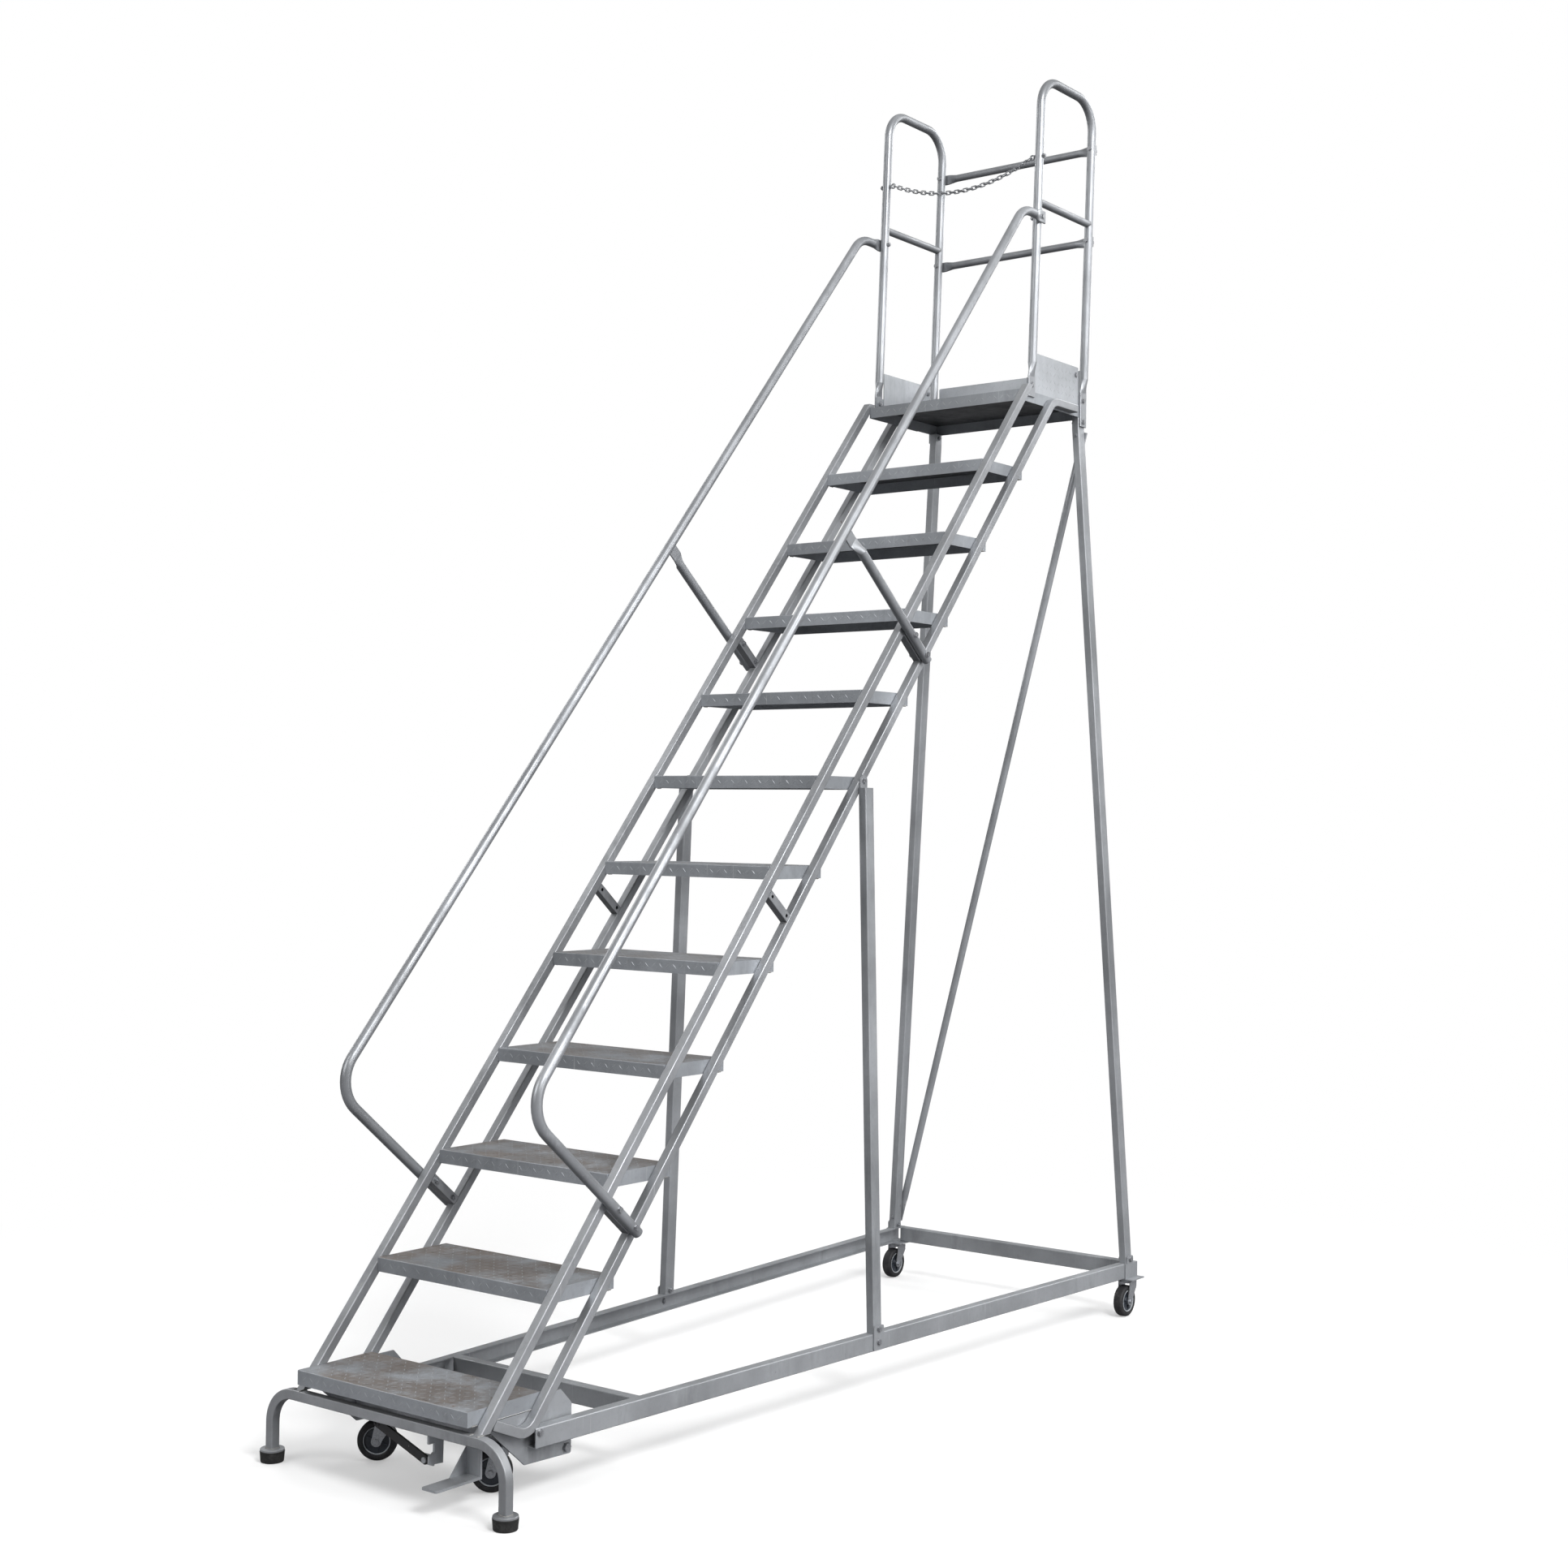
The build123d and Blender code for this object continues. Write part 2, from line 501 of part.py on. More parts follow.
RAIL_RUN = RAIL_RUN + (HANDRAIL_TOP_Z - SECOND_STEP_Z) * ALONG[1]
STAY_SHARE = (BRACKETS[2] - BRACKETS[0]) / (RAIL_RUN - BRACKETS[0])
STAY_TOP_X = HANDRAIL_LOW_X + (HANDRAIL_TOP_X - HANDRAIL_LOW_X) * STAY_SHARE
STAY_TOP = Vector(STAY_TOP_X, *slope_point(-HANDRAIL_OFFSET, BRACKETS[2]))
GRIP_LOW = Vector(HANDRAIL_LOW_X, *slope_point(-HANDRAIL_OFFSET, BRACKETS[0]))
STAY_TAPER = 36.0
STAY_TONGUE = 46.0
with BuildPart() as handrail_right:
    with BuildLine() as grip:
        FilletPolyline(
            (HANDRAIL_LOW_X, *slope_point(TUBE_END, BRACKETS[0])),
            (HANDRAIL_LOW_X, *slope_point(-HANDRAIL_OFFSET, BRACKETS[0])),
            (HANDRAIL_TOP_X, slope_y(-HANDRAIL_OFFSET, HANDRAIL_TOP_Z), HANDRAIL_TOP_Z),
            (HANDRAIL_TOP_X, HANDRAIL_POST_Y - GRIP_END, HANDRAIL_TOP_Z),
            radius=HANDRAIL_BEND,
        )
    with BuildSketch(Plane(grip.line @ 0, x_dir=(1, 0, 0), z_dir=grip.line % 0)):
        Circle(ROUND)
        Circle(ROUND - ROUND_WALL, mode=Mode.SUBTRACT)
    sweep(path=grip.line)
    with BuildSketch(Plane(grip.line @ 0, x_dir=(1, 0, 0), z_dir=grip.line % 0)):
        Circle(ROUND - PLUG_INSET)
    extrude(amount=END_PLUG)
    grip_end = Plane(grip.line @ 1, x_dir=(1, 0, 0), z_dir=(0, 1, 0))
    flat_end(grip_end, ROUND, TONGUE_WIDTH, GRIP_TAPER, GRIP_TONGUE)
    drill_x(HANDRAIL_TOP_X, HANDRAIL_POST_Y, HANDRAIL_TOP_Z, BOLT_RADIUS + HOLE_GAP, 3 * FLAT)
    for behind in HOLES:
        drill_x(HANDRAIL_LOW_X, *slope_point(behind, BRACKETS[0]), BOLT_RADIUS + HOLE_GAP, 4 * ROUND)
keep("handrail_right", handrail_right)
keep("handrail_left", mirrored(handrail_right))

DOWN = (0, ALONG[1], -ALONG[0])
UP_ACROSS = (0, -ALONG[1], ALONG[0])
with BuildPart() as stay_right:
    stay_foot = (HANDRAIL_LOW_X, *slope_point(TUBE_END, BRACKETS[2]))
    foot_plane = Plane(stay_foot, x_dir=(1, 0, 0), z_dir=UP_ACROSS)
    stay_length = TUBE_END + HANDRAIL_OFFSET - STAY_TAPER - STAY_TONGUE
    with BuildSketch(foot_plane):
        Circle(ROUND)
        Circle(ROUND - ROUND_WALL, mode=Mode.SUBTRACT)
    extrude(amount=stay_length)
    with BuildSketch(foot_plane):
        Circle(ROUND - PLUG_INSET)
    extrude(amount=END_PLUG)
    stay_shift = STAY_TOP_X - HANDRAIL_LOW_X
    flat_end(foot_plane.offset(stay_length), ROUND, TONGUE_WIDTH, STAY_TAPER, STAY_TONGUE, stay_shift)
    with BuildSketch(Plane(STAY_TOP, z_dir=STAY_TOP - GRIP_LOW)) as grip_space:
        Circle(ROUND + WELD_GAP)
    extrude(grip_space.sketch, amount=TONGUE_WIDTH, both=True, mode=Mode.SUBTRACT)
    for behind in HOLES:
        drill_x(HANDRAIL_LOW_X, *slope_point(behind, BRACKETS[2]), BOLT_RADIUS + HOLE_GAP, 4 * ROUND)
with BuildPart() as handrail_stays:
    add(stay_right.part)
    mirror(stay_right.part, about=Plane.YZ)
keep("handrail_stays", handrail_stays)

with BuildPart() as brackets_right:
    for along in BRACKETS:
        start = FRONT_STRINGER + TUBE / 2
        with BuildSketch(Plane((STRINGER_X, *slope_point(start, along)), x_dir=(1, 0, 0), z_dir=DOWN)):
            RectangleRounded(TUBE, TUBE, TUBE_CORNER)
            RectangleRounded(TUBE - 2 * TUBE_WALL, TUBE - 2 * TUBE_WALL, TUBE_CORNER - TUBE_WALL,
                             mode=Mode.SUBTRACT)
        extrude(amount=REAR_STRINGER - FRONT_STRINGER - TUBE)
        for behind in HOLES:
            drill_x(STRINGER_X, *slope_point(behind, along), BRACKET_HOLE, 2 * TUBE)
with BuildPart() as stringer_brackets:
    add(brackets_right.part)
    mirror(brackets_right.part, about=Plane.YZ)
keep("stringer_brackets", stringer_brackets)

# ---- base channels --------------------------------------------------------------------------
RAIL_LENGTH = hypot(RAIL_REAR_X - RAIL_FRONT_X, RAIL_REAR_Y - RAIL_FRONT_Y)
RAIL_DIR = (sin(radians(SPLAY_ANGLE)), cos(radians(SPLAY_ANGLE)), 0)
RAIL_OUT = (cos(radians(SPLAY_ANGLE)), -sin(radians(SPLAY_ANGLE)), 0)
RAIL_IN = (-RAIL_OUT[0], -RAIL_OUT[1], 0)
RAIL_MID_Z = RAIL_BOTTOM + RAIL_HEIGHT / 2
RAIL_GAP = 1.0
RAIL_BOLT_Y = RAIL_FRONT_Y + RAIL_DEPTH / 2
RAIL_BOLT_Z = RAIL_TOP - BOLT_EDGE
CLIP_BOLT_Z = RAIL_TOP + BOLT_EDGE
with BuildPart() as base_rail_right:
    with BuildSketch(Plane((RAIL_FRONT_X, RAIL_FRONT_Y, RAIL_MID_Z), x_dir=RAIL_IN, z_dir=RAIL_DIR)):
        with Locations((RAIL_DEPTH / 2, 0)):
            Rectangle(RAIL_DEPTH, RAIL_HEIGHT)
        with Locations((RAIL_DEPTH / 2 + RAIL_SHEET, 0)):
            Rectangle(RAIL_DEPTH, RAIL_HEIGHT - 2 * RAIL_SHEET, mode=Mode.SUBTRACT)
    extrude(amount=RAIL_LENGTH)
    outer_edges = base_rail_right.edges().filter_by(lambda edge: edge.length > RAIL_LENGTH / 2)
    fillet(outer_edges.sort_by(Axis((0, 0, 0), RAIL_OUT))[-2:], RAIL_SHEET)
    flange_start = REAR_STRINGER + TUBE / 2 + RAIL_GAP
    with BuildSketch(Plane.YZ.offset(STEP_X - PLATE)):
        with BuildLine():
            Polyline(
                (RAIL_FRONT_Y - 3 * TUBE, RAIL_BOTTOM - PLATE),
                (slope_y(flange_start, RAIL_BOTTOM - PLATE), RAIL_BOTTOM - PLATE),
                (slope_y(flange_start, RAIL_TOP + PLATE), RAIL_TOP + PLATE),
                (RAIL_FRONT_Y - 3 * TUBE, RAIL_TOP + PLATE),
                close=True,
            )
        make_face()
    extrude(amount=OUTER_X + HOLE_GAP - STEP_X + PLATE, mode=Mode.SUBTRACT)
    drill_x(RAIL_FRONT_X, RAIL_BOLT_Y, RAIL_BOLT_Z, BOLT_RADIUS + HOLE_GAP, 6 * RAIL_SHEET)
    drill_x(rail_x(MID_STRUT_Y), MID_STRUT_Y, RAIL_MID_Z, BOLT_RADIUS + HOLE_GAP, 6 * RAIL_SHEET)
keep("base_rail_right", base_rail_right)
keep("base_rail_left", mirrored(base_rail_right))

for name, cross_y in (
    ("base_front_rail", CROSS_RAIL_Y),
    ("base_rear_rail", RAIL_REAR_Y - RAIL_DEPTH - RAIL_GAP)
):
    with BuildPart() as cross_rail:
        with BuildSketch(Plane((0, cross_y, RAIL_MID_Z), x_dir=(0, 1, 0), z_dir=(1, 0, 0))):
            with Locations((RAIL_DEPTH / 2, 0)):
                Rectangle(RAIL_DEPTH, RAIL_HEIGHT)
            with Locations((RAIL_DEPTH / 2 + RAIL_SHEET, 0)):
                Rectangle(RAIL_DEPTH, RAIL_HEIGHT - 2 * RAIL_SHEET, mode=Mode.SUBTRACT)
        extrude(amount=RAIL_REAR_X, both=True)
        front_edges = cross_rail.edges().filter_by(Axis.X).group_by(Axis.Y)[0]
        fillet(front_edges, RAIL_SHEET)
        for sign in (-1, 1):
            tip = (sign * (rail_x(cross_y) - (RAIL_DEPTH + HOLE_GAP) / RAIL_OUT[0]), cross_y, RAIL_MID_Z)
            split(bisect_by=Plane(tip, z_dir=(sign * RAIL_OUT[0], RAIL_OUT[1], 0)), keep=Keep.BOTTOM)
    keep(name, cross_rail)

# ---- struts ---------------------------------------------------------------------------------
MID_FOOT_X = rail_x(MID_STRUT_Y) - STRUT_X / 2 - STRUT_PLAY
MID_TOP_X = OUTER_X + STRUT_X / 2
MID_LEAN = (MID_FOOT_X - MID_TOP_X) / (MID_STRUT_TOP - RAIL_TOP)
with BuildPart() as mid_strut_right:
    for wall, mode in ((0.0, Mode.ADD), (STRUT_WALL, Mode.SUBTRACT)):
        with BuildSketch(Plane.XY.offset(RAIL_TOP)):
            with Locations((MID_FOOT_X, MID_STRUT_Y)):
                RectangleRounded(STRUT_X - 2 * wall, STRUT_Y - 2 * wall, TUBE_CORNER - wall)
        with BuildSketch(Plane.XY.offset(MID_STRUT_TOP)):
            with Locations((MID_TOP_X, LUG_Y)):
                RectangleRounded(STRUT_X - 2 * wall, STRUT_Y - 2 * wall, TUBE_CORNER - wall)
        loft(mode=mode)
    with BuildSketch(Plane.XY.offset(MID_STRUT_TOP)):
        with Locations((MID_TOP_X, LUG_Y)):
            RectangleRounded(STRUT_X, STRUT_Y, TUBE_CORNER)
    extrude(amount=STRUT_WALL)
    with BuildSketch(Plane.YZ.offset(OUTER_X)):
        with Locations((LUG_Y, (MID_STRUT_TOP + LUG_Z) / 2)):
            Rectangle(STRUT_Y - 2 * LUG_MARGIN, LUG_Z - MID_STRUT_TOP)
        with Locations((LUG_Y, LUG_Z)):
            Circle(STRUT_Y / 2 - LUG_MARGIN)
    extrude(amount=PLATE)
    drill_x(OUTER_X, LUG_Y, LUG_Z, BOLT_RADIUS + HOLE_GAP, 4 * PLATE)
    drill_x(MID_FOOT_X, MID_STRUT_Y, CLIP_BOLT_Z, BOLT_RADIUS + HOLE_GAP, 2 * STRUT_X)
keep("mid_strut_right", mid_strut_right)
keep("mid_strut_left", mirrored(mid_strut_right))

REAR_TOP_X = STEP_X - STRUT_X / 2
REAR_FOOT_X = rail_x(REAR_STRUT_FOOT_Y) - STRUT_X / 2 - STRUT_PLAY
STRUT_KNEE = PLATFORM_Z - 72.0
UNDER_DECK = PLATFORM_Z - LIP
with BuildPart() as rear_strut_right:
    for wall, mode in ((0.0, Mode.ADD), (STRUT_WALL, Mode.SUBTRACT)):
        with BuildSketch(Plane.XY.offset(RAIL_TOP)):
            with Locations((REAR_FOOT_X, REAR_STRUT_FOOT_Y)):
                RectangleRounded(STRUT_X - 2 * wall, STRUT_Y - 2 * wall, TUBE_CORNER - wall)
        with BuildSketch(Plane.XY.offset(STRUT_KNEE)):
            with Locations((REAR_TOP_X, REAR_STRUT_TOP_Y)):
                RectangleRounded(STRUT_X - 2 * wall, STRUT_Y - 2 * wall, TUBE_CORNER - wall)
        loft(mode=mode)
    for wall, mode in ((0.0, Mode.ADD), (STRUT_WALL, Mode.SUBTRACT)):
        with BuildSketch(Plane.XY.offset(STRUT_KNEE)):
            with Locations((REAR_TOP_X, REAR_STRUT_TOP_Y)):
                RectangleRounded(STRUT_X - 2 * wall, STRUT_Y - 2 * wall, TUBE_CORNER - wall)
        extrude(amount=UNDER_DECK - STRUT_KNEE, mode=mode)
    drill_x(REAR_TOP_X, REAR_STRUT_TOP_Y, STRUT_BOLT_Z, BOLT_RADIUS + HOLE_GAP, 2 * STRUT_X)
    drill_x(REAR_FOOT_X, REAR_STRUT_FOOT_Y, CLIP_BOLT_Z, BOLT_RADIUS + HOLE_GAP, 2 * STRUT_X)
with BuildPart() as rear_strut_left:
    mirror(rear_strut_right.part, about=Plane.YZ)

STRUT_SPAN = STRUT_KNEE - RAIL_TOP
STRUT_BACK = (REAR_STRUT_FOOT_Y - REAR_STRUT_TOP_Y) / STRUT_SPAN
REAR_LEAN = (REAR_FOOT_X - REAR_TOP_X) / STRUT_SPAN
BRACE_NORMAL = (0, 1, STRUT_BACK)


def strut_point(height, sign, behind):
    """Point straight behind the centre line of a rear strut."""
    share = (STRUT_KNEE - height) / STRUT_SPAN
    x = sign * (REAR_TOP_X + (REAR_FOOT_X - REAR_TOP_X) * share)
    y = REAR_STRUT_TOP_Y + (REAR_STRUT_FOOT_Y - REAR_STRUT_TOP_Y) * share + behind
    return Vector(x, y, height)


BRACE_GAP = 0.6
BRACE_BEHIND = STRUT_Y / 2 + BRACE_GAP + BAR_RADIUS
BRACE_SHIFT = BAR_RADIUS - FLAT / 2
BRACE_RAISE = 42.0
BRACE_LOWER = 22.0
BRACE_TONGUE = 43.0
BRACE_LOW_Z = RAIL_TOP + BRACE_RAISE
BRACE_HIGH_Z = STRUT_KNEE - BRACE_LOWER
BRACE_LOW = strut_point(BRACE_LOW_Z, -1, BRACE_BEHIND)
BRACE_HIGH = strut_point(BRACE_HIGH_Z, 1, BRACE_BEHIND)
BRACE_DIR = (BRACE_HIGH - BRACE_LOW).normalized()
BRACE_TAPER_START = 60.0
for side_strut, end_point in ((rear_strut_left, BRACE_LOW), (rear_strut_right, BRACE_HIGH)):
    with side_strut:
        with Locations(Plane(end_point, x_dir=(1, 0, 0), z_dir=BRACE_NORMAL).location):
            Cylinder(BOLT_RADIUS + HOLE_GAP, 4 * STRUT_Y, mode=Mode.SUBTRACT)
keep("rear_strut_right", rear_strut_right)
keep("rear_strut_left", rear_strut_left)

with BuildPart() as rear_brace:
    tube_plane = Plane(BRACE_LOW, x_dir=BRACE_NORMAL, z_dir=BRACE_DIR)
    with BuildSketch(tube_plane.offset(BRACE_TAPER_START)):
        Circle(BAR_RADIUS)
        Circle(BAR_RADIUS - ROUND_WALL, mode=Mode.SUBTRACT)
    extrude(amount=(BRACE_HIGH - BRACE_LOW).length - 2 * BRACE_TAPER_START)
    for end_point, direction in ((BRACE_LOW, BRACE_DIR * -1), (BRACE_HIGH, BRACE_DIR)):
        end_plane = Plane(end_point, x_dir=BRACE_NORMAL, z_dir=direction).offset(-BRACE_TAPER_START)
        flat_end(end_plane, BAR_RADIUS, BAR_TONGUE, BAR_TAPER, BRACE_TONGUE, -BRACE_SHIFT)
        with Locations(Plane(end_point, x_dir=(1, 0, 0), z_dir=BRACE_NORMAL).location):
            Cylinder(BOLT_RADIUS + HOLE_GAP, 3 * BAR_RADIUS, mode=Mode.SUBTRACT)
keep("rear_brace", rear_brace)

CLIP_WIDTH = 44.0
CLIP_RISE = 20.0
CLIP_CORNER = 6.0
with BuildPart() as clip_right:
    clip_x = rail_x(MID_STRUT_Y)
    with BuildSketch(Plane((clip_x, MID_STRUT_Y, RAIL_MID_Z), x_dir=RAIL_DIR, z_dir=RAIL_OUT)):
        with Locations((0, BOLT_EDGE)):
            RectangleRounded(CLIP_WIDTH, RAIL_HEIGHT + CLIP_RISE, CLIP_CORNER)
    extrude(amount=CASTER_SHEET)
    drill_x(clip_x, MID_STRUT_Y, RAIL_MID_Z, BOLT_RADIUS + HOLE_GAP, 6 * PLATE)
    drill_x(clip_x, MID_STRUT_Y, CLIP_BOLT_Z, BOLT_RADIUS + HOLE_GAP, 6 * PLATE)
with BuildPart() as strut_clips:
    add(clip_right.part)
    mirror(clip_right.part, about=Plane.YZ)
keep("strut_clips", strut_clips)

# ---- side plates ----------------------------------------------------------------------------
UNDER_STEP = FIRST_STEP_Z - LIP - 3.0
BEHIND_STEP = FIRST_STEP_Y + STEP_DEPTH + 2.0
CHEEK_TOP = UNDER_STEP + 30.0
CHEEK_REAR = PIVOT_Y + 18.0
CHEEK_FRONT = PIVOT_Y - 286.0
CHEEK_BOTTOM = PIVOT_Z - 18.0
CHEEK_HOLE = (PIVOT_Y - 64.0, UNDER_STEP + 8.0)
with BuildPart() as side_plate_right:
    with BuildSketch(Plane.YZ.offset(STEP_X - PLATE)):
        with BuildLine():
            Polyline(
                (CHEEK_FRONT, UNDER_STEP),
                (BEHIND_STEP, UNDER_STEP),
                (BEHIND_STEP, CHEEK_TOP),
                (CHEEK_REAR - 38.0, CHEEK_TOP),
                (CHEEK_REAR, CHEEK_TOP - 39.0),
                (CHEEK_REAR, CHEEK_BOTTOM),
                (CHEEK_FRONT + 145.0, CHEEK_BOTTOM + 6.0),
                (CHEEK_FRONT + 34.0, UNDER_STEP - 28.0),
                close=True,
            )
        make_face()
    extrude(amount=PLATE)
    drill_x(STEP_X, PIVOT_Y, PIVOT_Z, PIVOT_RADIUS + HOLE_GAP, 4 * PLATE)
    drill_x(STEP_X, *CHEEK_HOLE, BOLT_RADIUS, 4 * PLATE)
    drill_x(STEP_X, RAIL_BOLT_Y, RAIL_BOLT_Z, BOLT_RADIUS + HOLE_GAP, 4 * PLATE)
    lower_corner = side_plate_right.edges().filter_by(Axis.X).group_by(Axis.Y)[-1].sort_by(Axis.Z)[0]
    fillet(lower_corner, CLIP_CORNER)
keep("side_plate_right", side_plate_right)
keep("side_plate_left", mirrored(side_plate_right))

# ---- casters --------------------------------------------------------------------------------
RING_HEIGHT = 8.0
RING_BOTTOM = CASTER_TOP - CASTER_SHEET - RING_HEIGHT
CROWN_TOP = RING_BOTTOM - 0.3
CROWN_BOTTOM = CROWN_TOP - CASTER_SHEET
KING_RADIUS = 6.0
LEG_INNER = WHEEL_WIDTH / 2 + 3.0
LEG_SHEET = 3.0
AXLE_RADIUS = 4.0
HUB_RADIUS = 33.0
RING_RADIUS = 23.0
KING_HEAD = 10.0
KING_HEAD_HEIGHT = 4.0
CROWN_LENGTH = 30.0
LEG_HALF = 22.0           # half depth of a fork leg at the crown
LEG_TIP = 13.0            # its radius around the axle
AXLE_HEX = 7.0
TYRE_EDGE = 9.0
HUB_RECESS = 3.0
BOSS_RADIUS = 11.0
BOSS_REACH = 2.0
RIM_WIDTH = 4.0
RIM_RAISE = 2.0


def caster_top(x, y):
    """Mounting plate, bearing ring and king pin of one swivel caster, in the part under construction."""
    with Locations((x, y, CASTER_TOP - CASTER_SHEET / 2)):
        Box(CASTER_PLATE, CASTER_PLATE, CASTER_SHEET)
    with Locations((x, y, RING_BOTTOM + RING_HEIGHT / 2)):
        Cylinder(RING_RADIUS, RING_HEIGHT)
    with Locations((x, y, RING_BOTTOM - CASTER_SHEET / 2)):
        Cylinder(KING_RADIUS, CASTER_SHEET + BOSS_REACH)
    with Locations((x, y, CROWN_BOTTOM - 0.3 - KING_HEAD_HEIGHT / 2)):
        Cylinder(KING_HEAD, KING_HEAD_HEIGHT)


def caster_fork(x, y, heading):
    """Fork and axle of one caster, turned to its rest heading."""
    base = Plane((x, y, 0), x_dir=(cos(radians(heading)), sin(radians(heading)), 0), z_dir=(0, 0, 1))
    across = base.x_dir
    with BuildPart() as fork:
        with BuildSketch(base.offset(CROWN_BOTTOM)):
            Circle(RING_RADIUS)
            Rectangle(2 * (LEG_INNER + LEG_SHEET), CROWN_LENGTH)
            Circle(KING_RADIUS + FIT, mode=Mode.SUBTRACT)
        extrude(amount=CASTER_SHEET)
        for leg_start in (-LEG_INNER - LEG_SHEET, LEG_INNER):
            leg_plane = Plane(base.origin + across * leg_start, x_dir=base.y_dir, z_dir=across)
            with BuildSketch(leg_plane):
                with BuildLine():
                    Polyline(
                        (-CASTER_TRAIL - LEG_TIP, WHEEL_RADIUS),
                        (-LEG_HALF, CROWN_BOTTOM - 10.0),
                        (-LEG_HALF, CROWN_TOP),
                        (LEG_HALF, CROWN_TOP),
                        (LEG_HALF, CROWN_BOTTOM - 14.0),
                        (-CASTER_TRAIL + LEG_TIP, WHEEL_RADIUS),
                        close=True,
                    )
                make_face()
                with Locations((-CASTER_TRAIL, WHEEL_RADIUS)):
                    Circle(LEG_TIP)
                    Circle(AXLE_RADIUS + HOLE_GAP, mode=Mode.SUBTRACT)
            extrude(amount=LEG_SHEET)
        axle_end = LEG_INNER + LEG_SHEET + HOLE_GAP
        axle_point = base.origin + base.y_dir * -CASTER_TRAIL + Vector(0, 0, WHEEL_RADIUS)
        with BuildSketch(Plane(axle_point - across * axle_end, x_dir=base.y_dir, z_dir=across)):
            Circle(AXLE_RADIUS)
        extrude(amount=2 * axle_end)
        for head_start, reach in ((axle_end, HEAD_HEIGHT), (-axle_end, -NUT_HEIGHT)):
            with BuildSketch(Plane(axle_point + across * head_start, x_dir=base.y_dir, z_dir=across)):
                RegularPolygon(AXLE_HEX, 6)
            extrude(amount=reach)
    return fork


def caster_wheel(x, y, heading):
    """Hub and tyre of one caster wheel around the axle of its fork."""
    base = Plane((x, y, 0), x_dir=(cos(radians(heading)), sin(radians(heading)), 0), z_dir=(0, 0, 1))
    across = base.x_dir
    axle_point = base.origin + base.y_dir * -CASTER_TRAIL + Vector(0, 0, WHEEL_RADIUS)
    half = WHEEL_WIDTH / 2
    with BuildPart() as wheel:
        with BuildSketch(Plane(axle_point - across * half, x_dir=base.y_dir, z_dir=across)):
            Circle(WHEEL_RADIUS)
            Circle(HUB_RADIUS + FIT, mode=Mode.SUBTRACT)
        extrude(amount=WHEEL_WIDTH)
        fillet(wheel.edges().filter_by(GeomType.CIRCLE).sort_by(lambda edge: edge.radius)[-2:], TYRE_EDGE)
        with BuildSketch(Plane(axle_point - across * (half - HUB_RECESS), x_dir=base.y_dir, z_dir=across)):
            Circle(HUB_RADIUS)
            Circle(AXLE_RADIUS + FIT, mode=Mode.SUBTRACT)
        extrude(amount=WHEEL_WIDTH - 2 * HUB_RECESS)
        with BuildSketch(Plane(axle_point - across * (half + BOSS_REACH), x_dir=base.y_dir, z_dir=across)):
            Circle(BOSS_RADIUS)
            Circle(AXLE_RADIUS + FIT, mode=Mode.SUBTRACT)
        extrude(amount=WHEEL_WIDTH + 2 * BOSS_REACH)
        for rim_start in (-half + HUB_RECESS - RIM_RAISE, half - HUB_RECESS):
            with BuildSketch(Plane(axle_point + across * rim_start, x_dir=base.y_dir, z_dir=across)):
                Circle(HUB_RADIUS)
                Circle(HUB_RADIUS - RIM_WIDTH, mode=Mode.SUBTRACT)
            extrude(amount=RIM_RAISE)
    return wheel


CASTERS = {
    "front_left": (-FRONT_CASTER_X, FRONT_CASTER_Y, FRONT_CASTER_TURN),
    "front_right": (FRONT_CASTER_X, FRONT_CASTER_Y, FRONT_CASTER_TURN),
    "rear_left": (-REAR_CASTER_X, REAR_CASTER_Y, 0.0),
    "rear_right": (REAR_CASTER_X, REAR_CASTER_Y, 0.0),
}
for place, (caster_x, caster_y, heading) in CASTERS.items():
    keep(f"caster_fork_{place}", caster_fork(caster_x, caster_y, heading))
    keep(f"caster_wheel_{place}", caster_wheel(caster_x, caster_y, heading))

CORNER_Y = REAR_STRUT_FOOT_Y
CORNER_LENGTH = 72.0
CORNER_SHIFT = 8.0
TAB_WIDTH = 36.0
TAB_HEIGHT = 26.0
with BuildPart() as corner_right:
    caster_top(REAR_CASTER_X, REAR_CASTER_Y)
    corner_plane = Plane((rail_x(CORNER_Y), CORNER_Y, CASTER_TOP), x_dir=RAIL_DIR, z_dir=RAIL_OUT)
    with BuildSketch(corner_plane):
        with Locations((CORNER_SHIFT, (RAIL_HEIGHT - EAR_GAP) / 2)):
            Rectangle(CORNER_LENGTH, RAIL_HEIGHT + EAR_GAP)
        with Locations((0, RAIL_HEIGHT - EAR_GAP + TAB_HEIGHT / 2)):
            Rectangle(TAB_WIDTH, TAB_HEIGHT)
    extrude(amount=CASTER_SHEET)
    tab_edges = corner_right.edges().filter_by(Axis((0, 0, 0), RAIL_OUT)).group_by(Axis.Z)[-1]
    fillet(tab_edges, CORNER_SHIFT)
    drill_x(rail_x(CORNER_Y), CORNER_Y, CLIP_BOLT_Z, BOLT_RADIUS + HOLE_GAP, 6 * PLATE)
with BuildPart() as caster_corners:
    add(corner_right.part)
    mirror(corner_right.part, about=Plane.YZ)
keep("caster_corners", caster_corners)

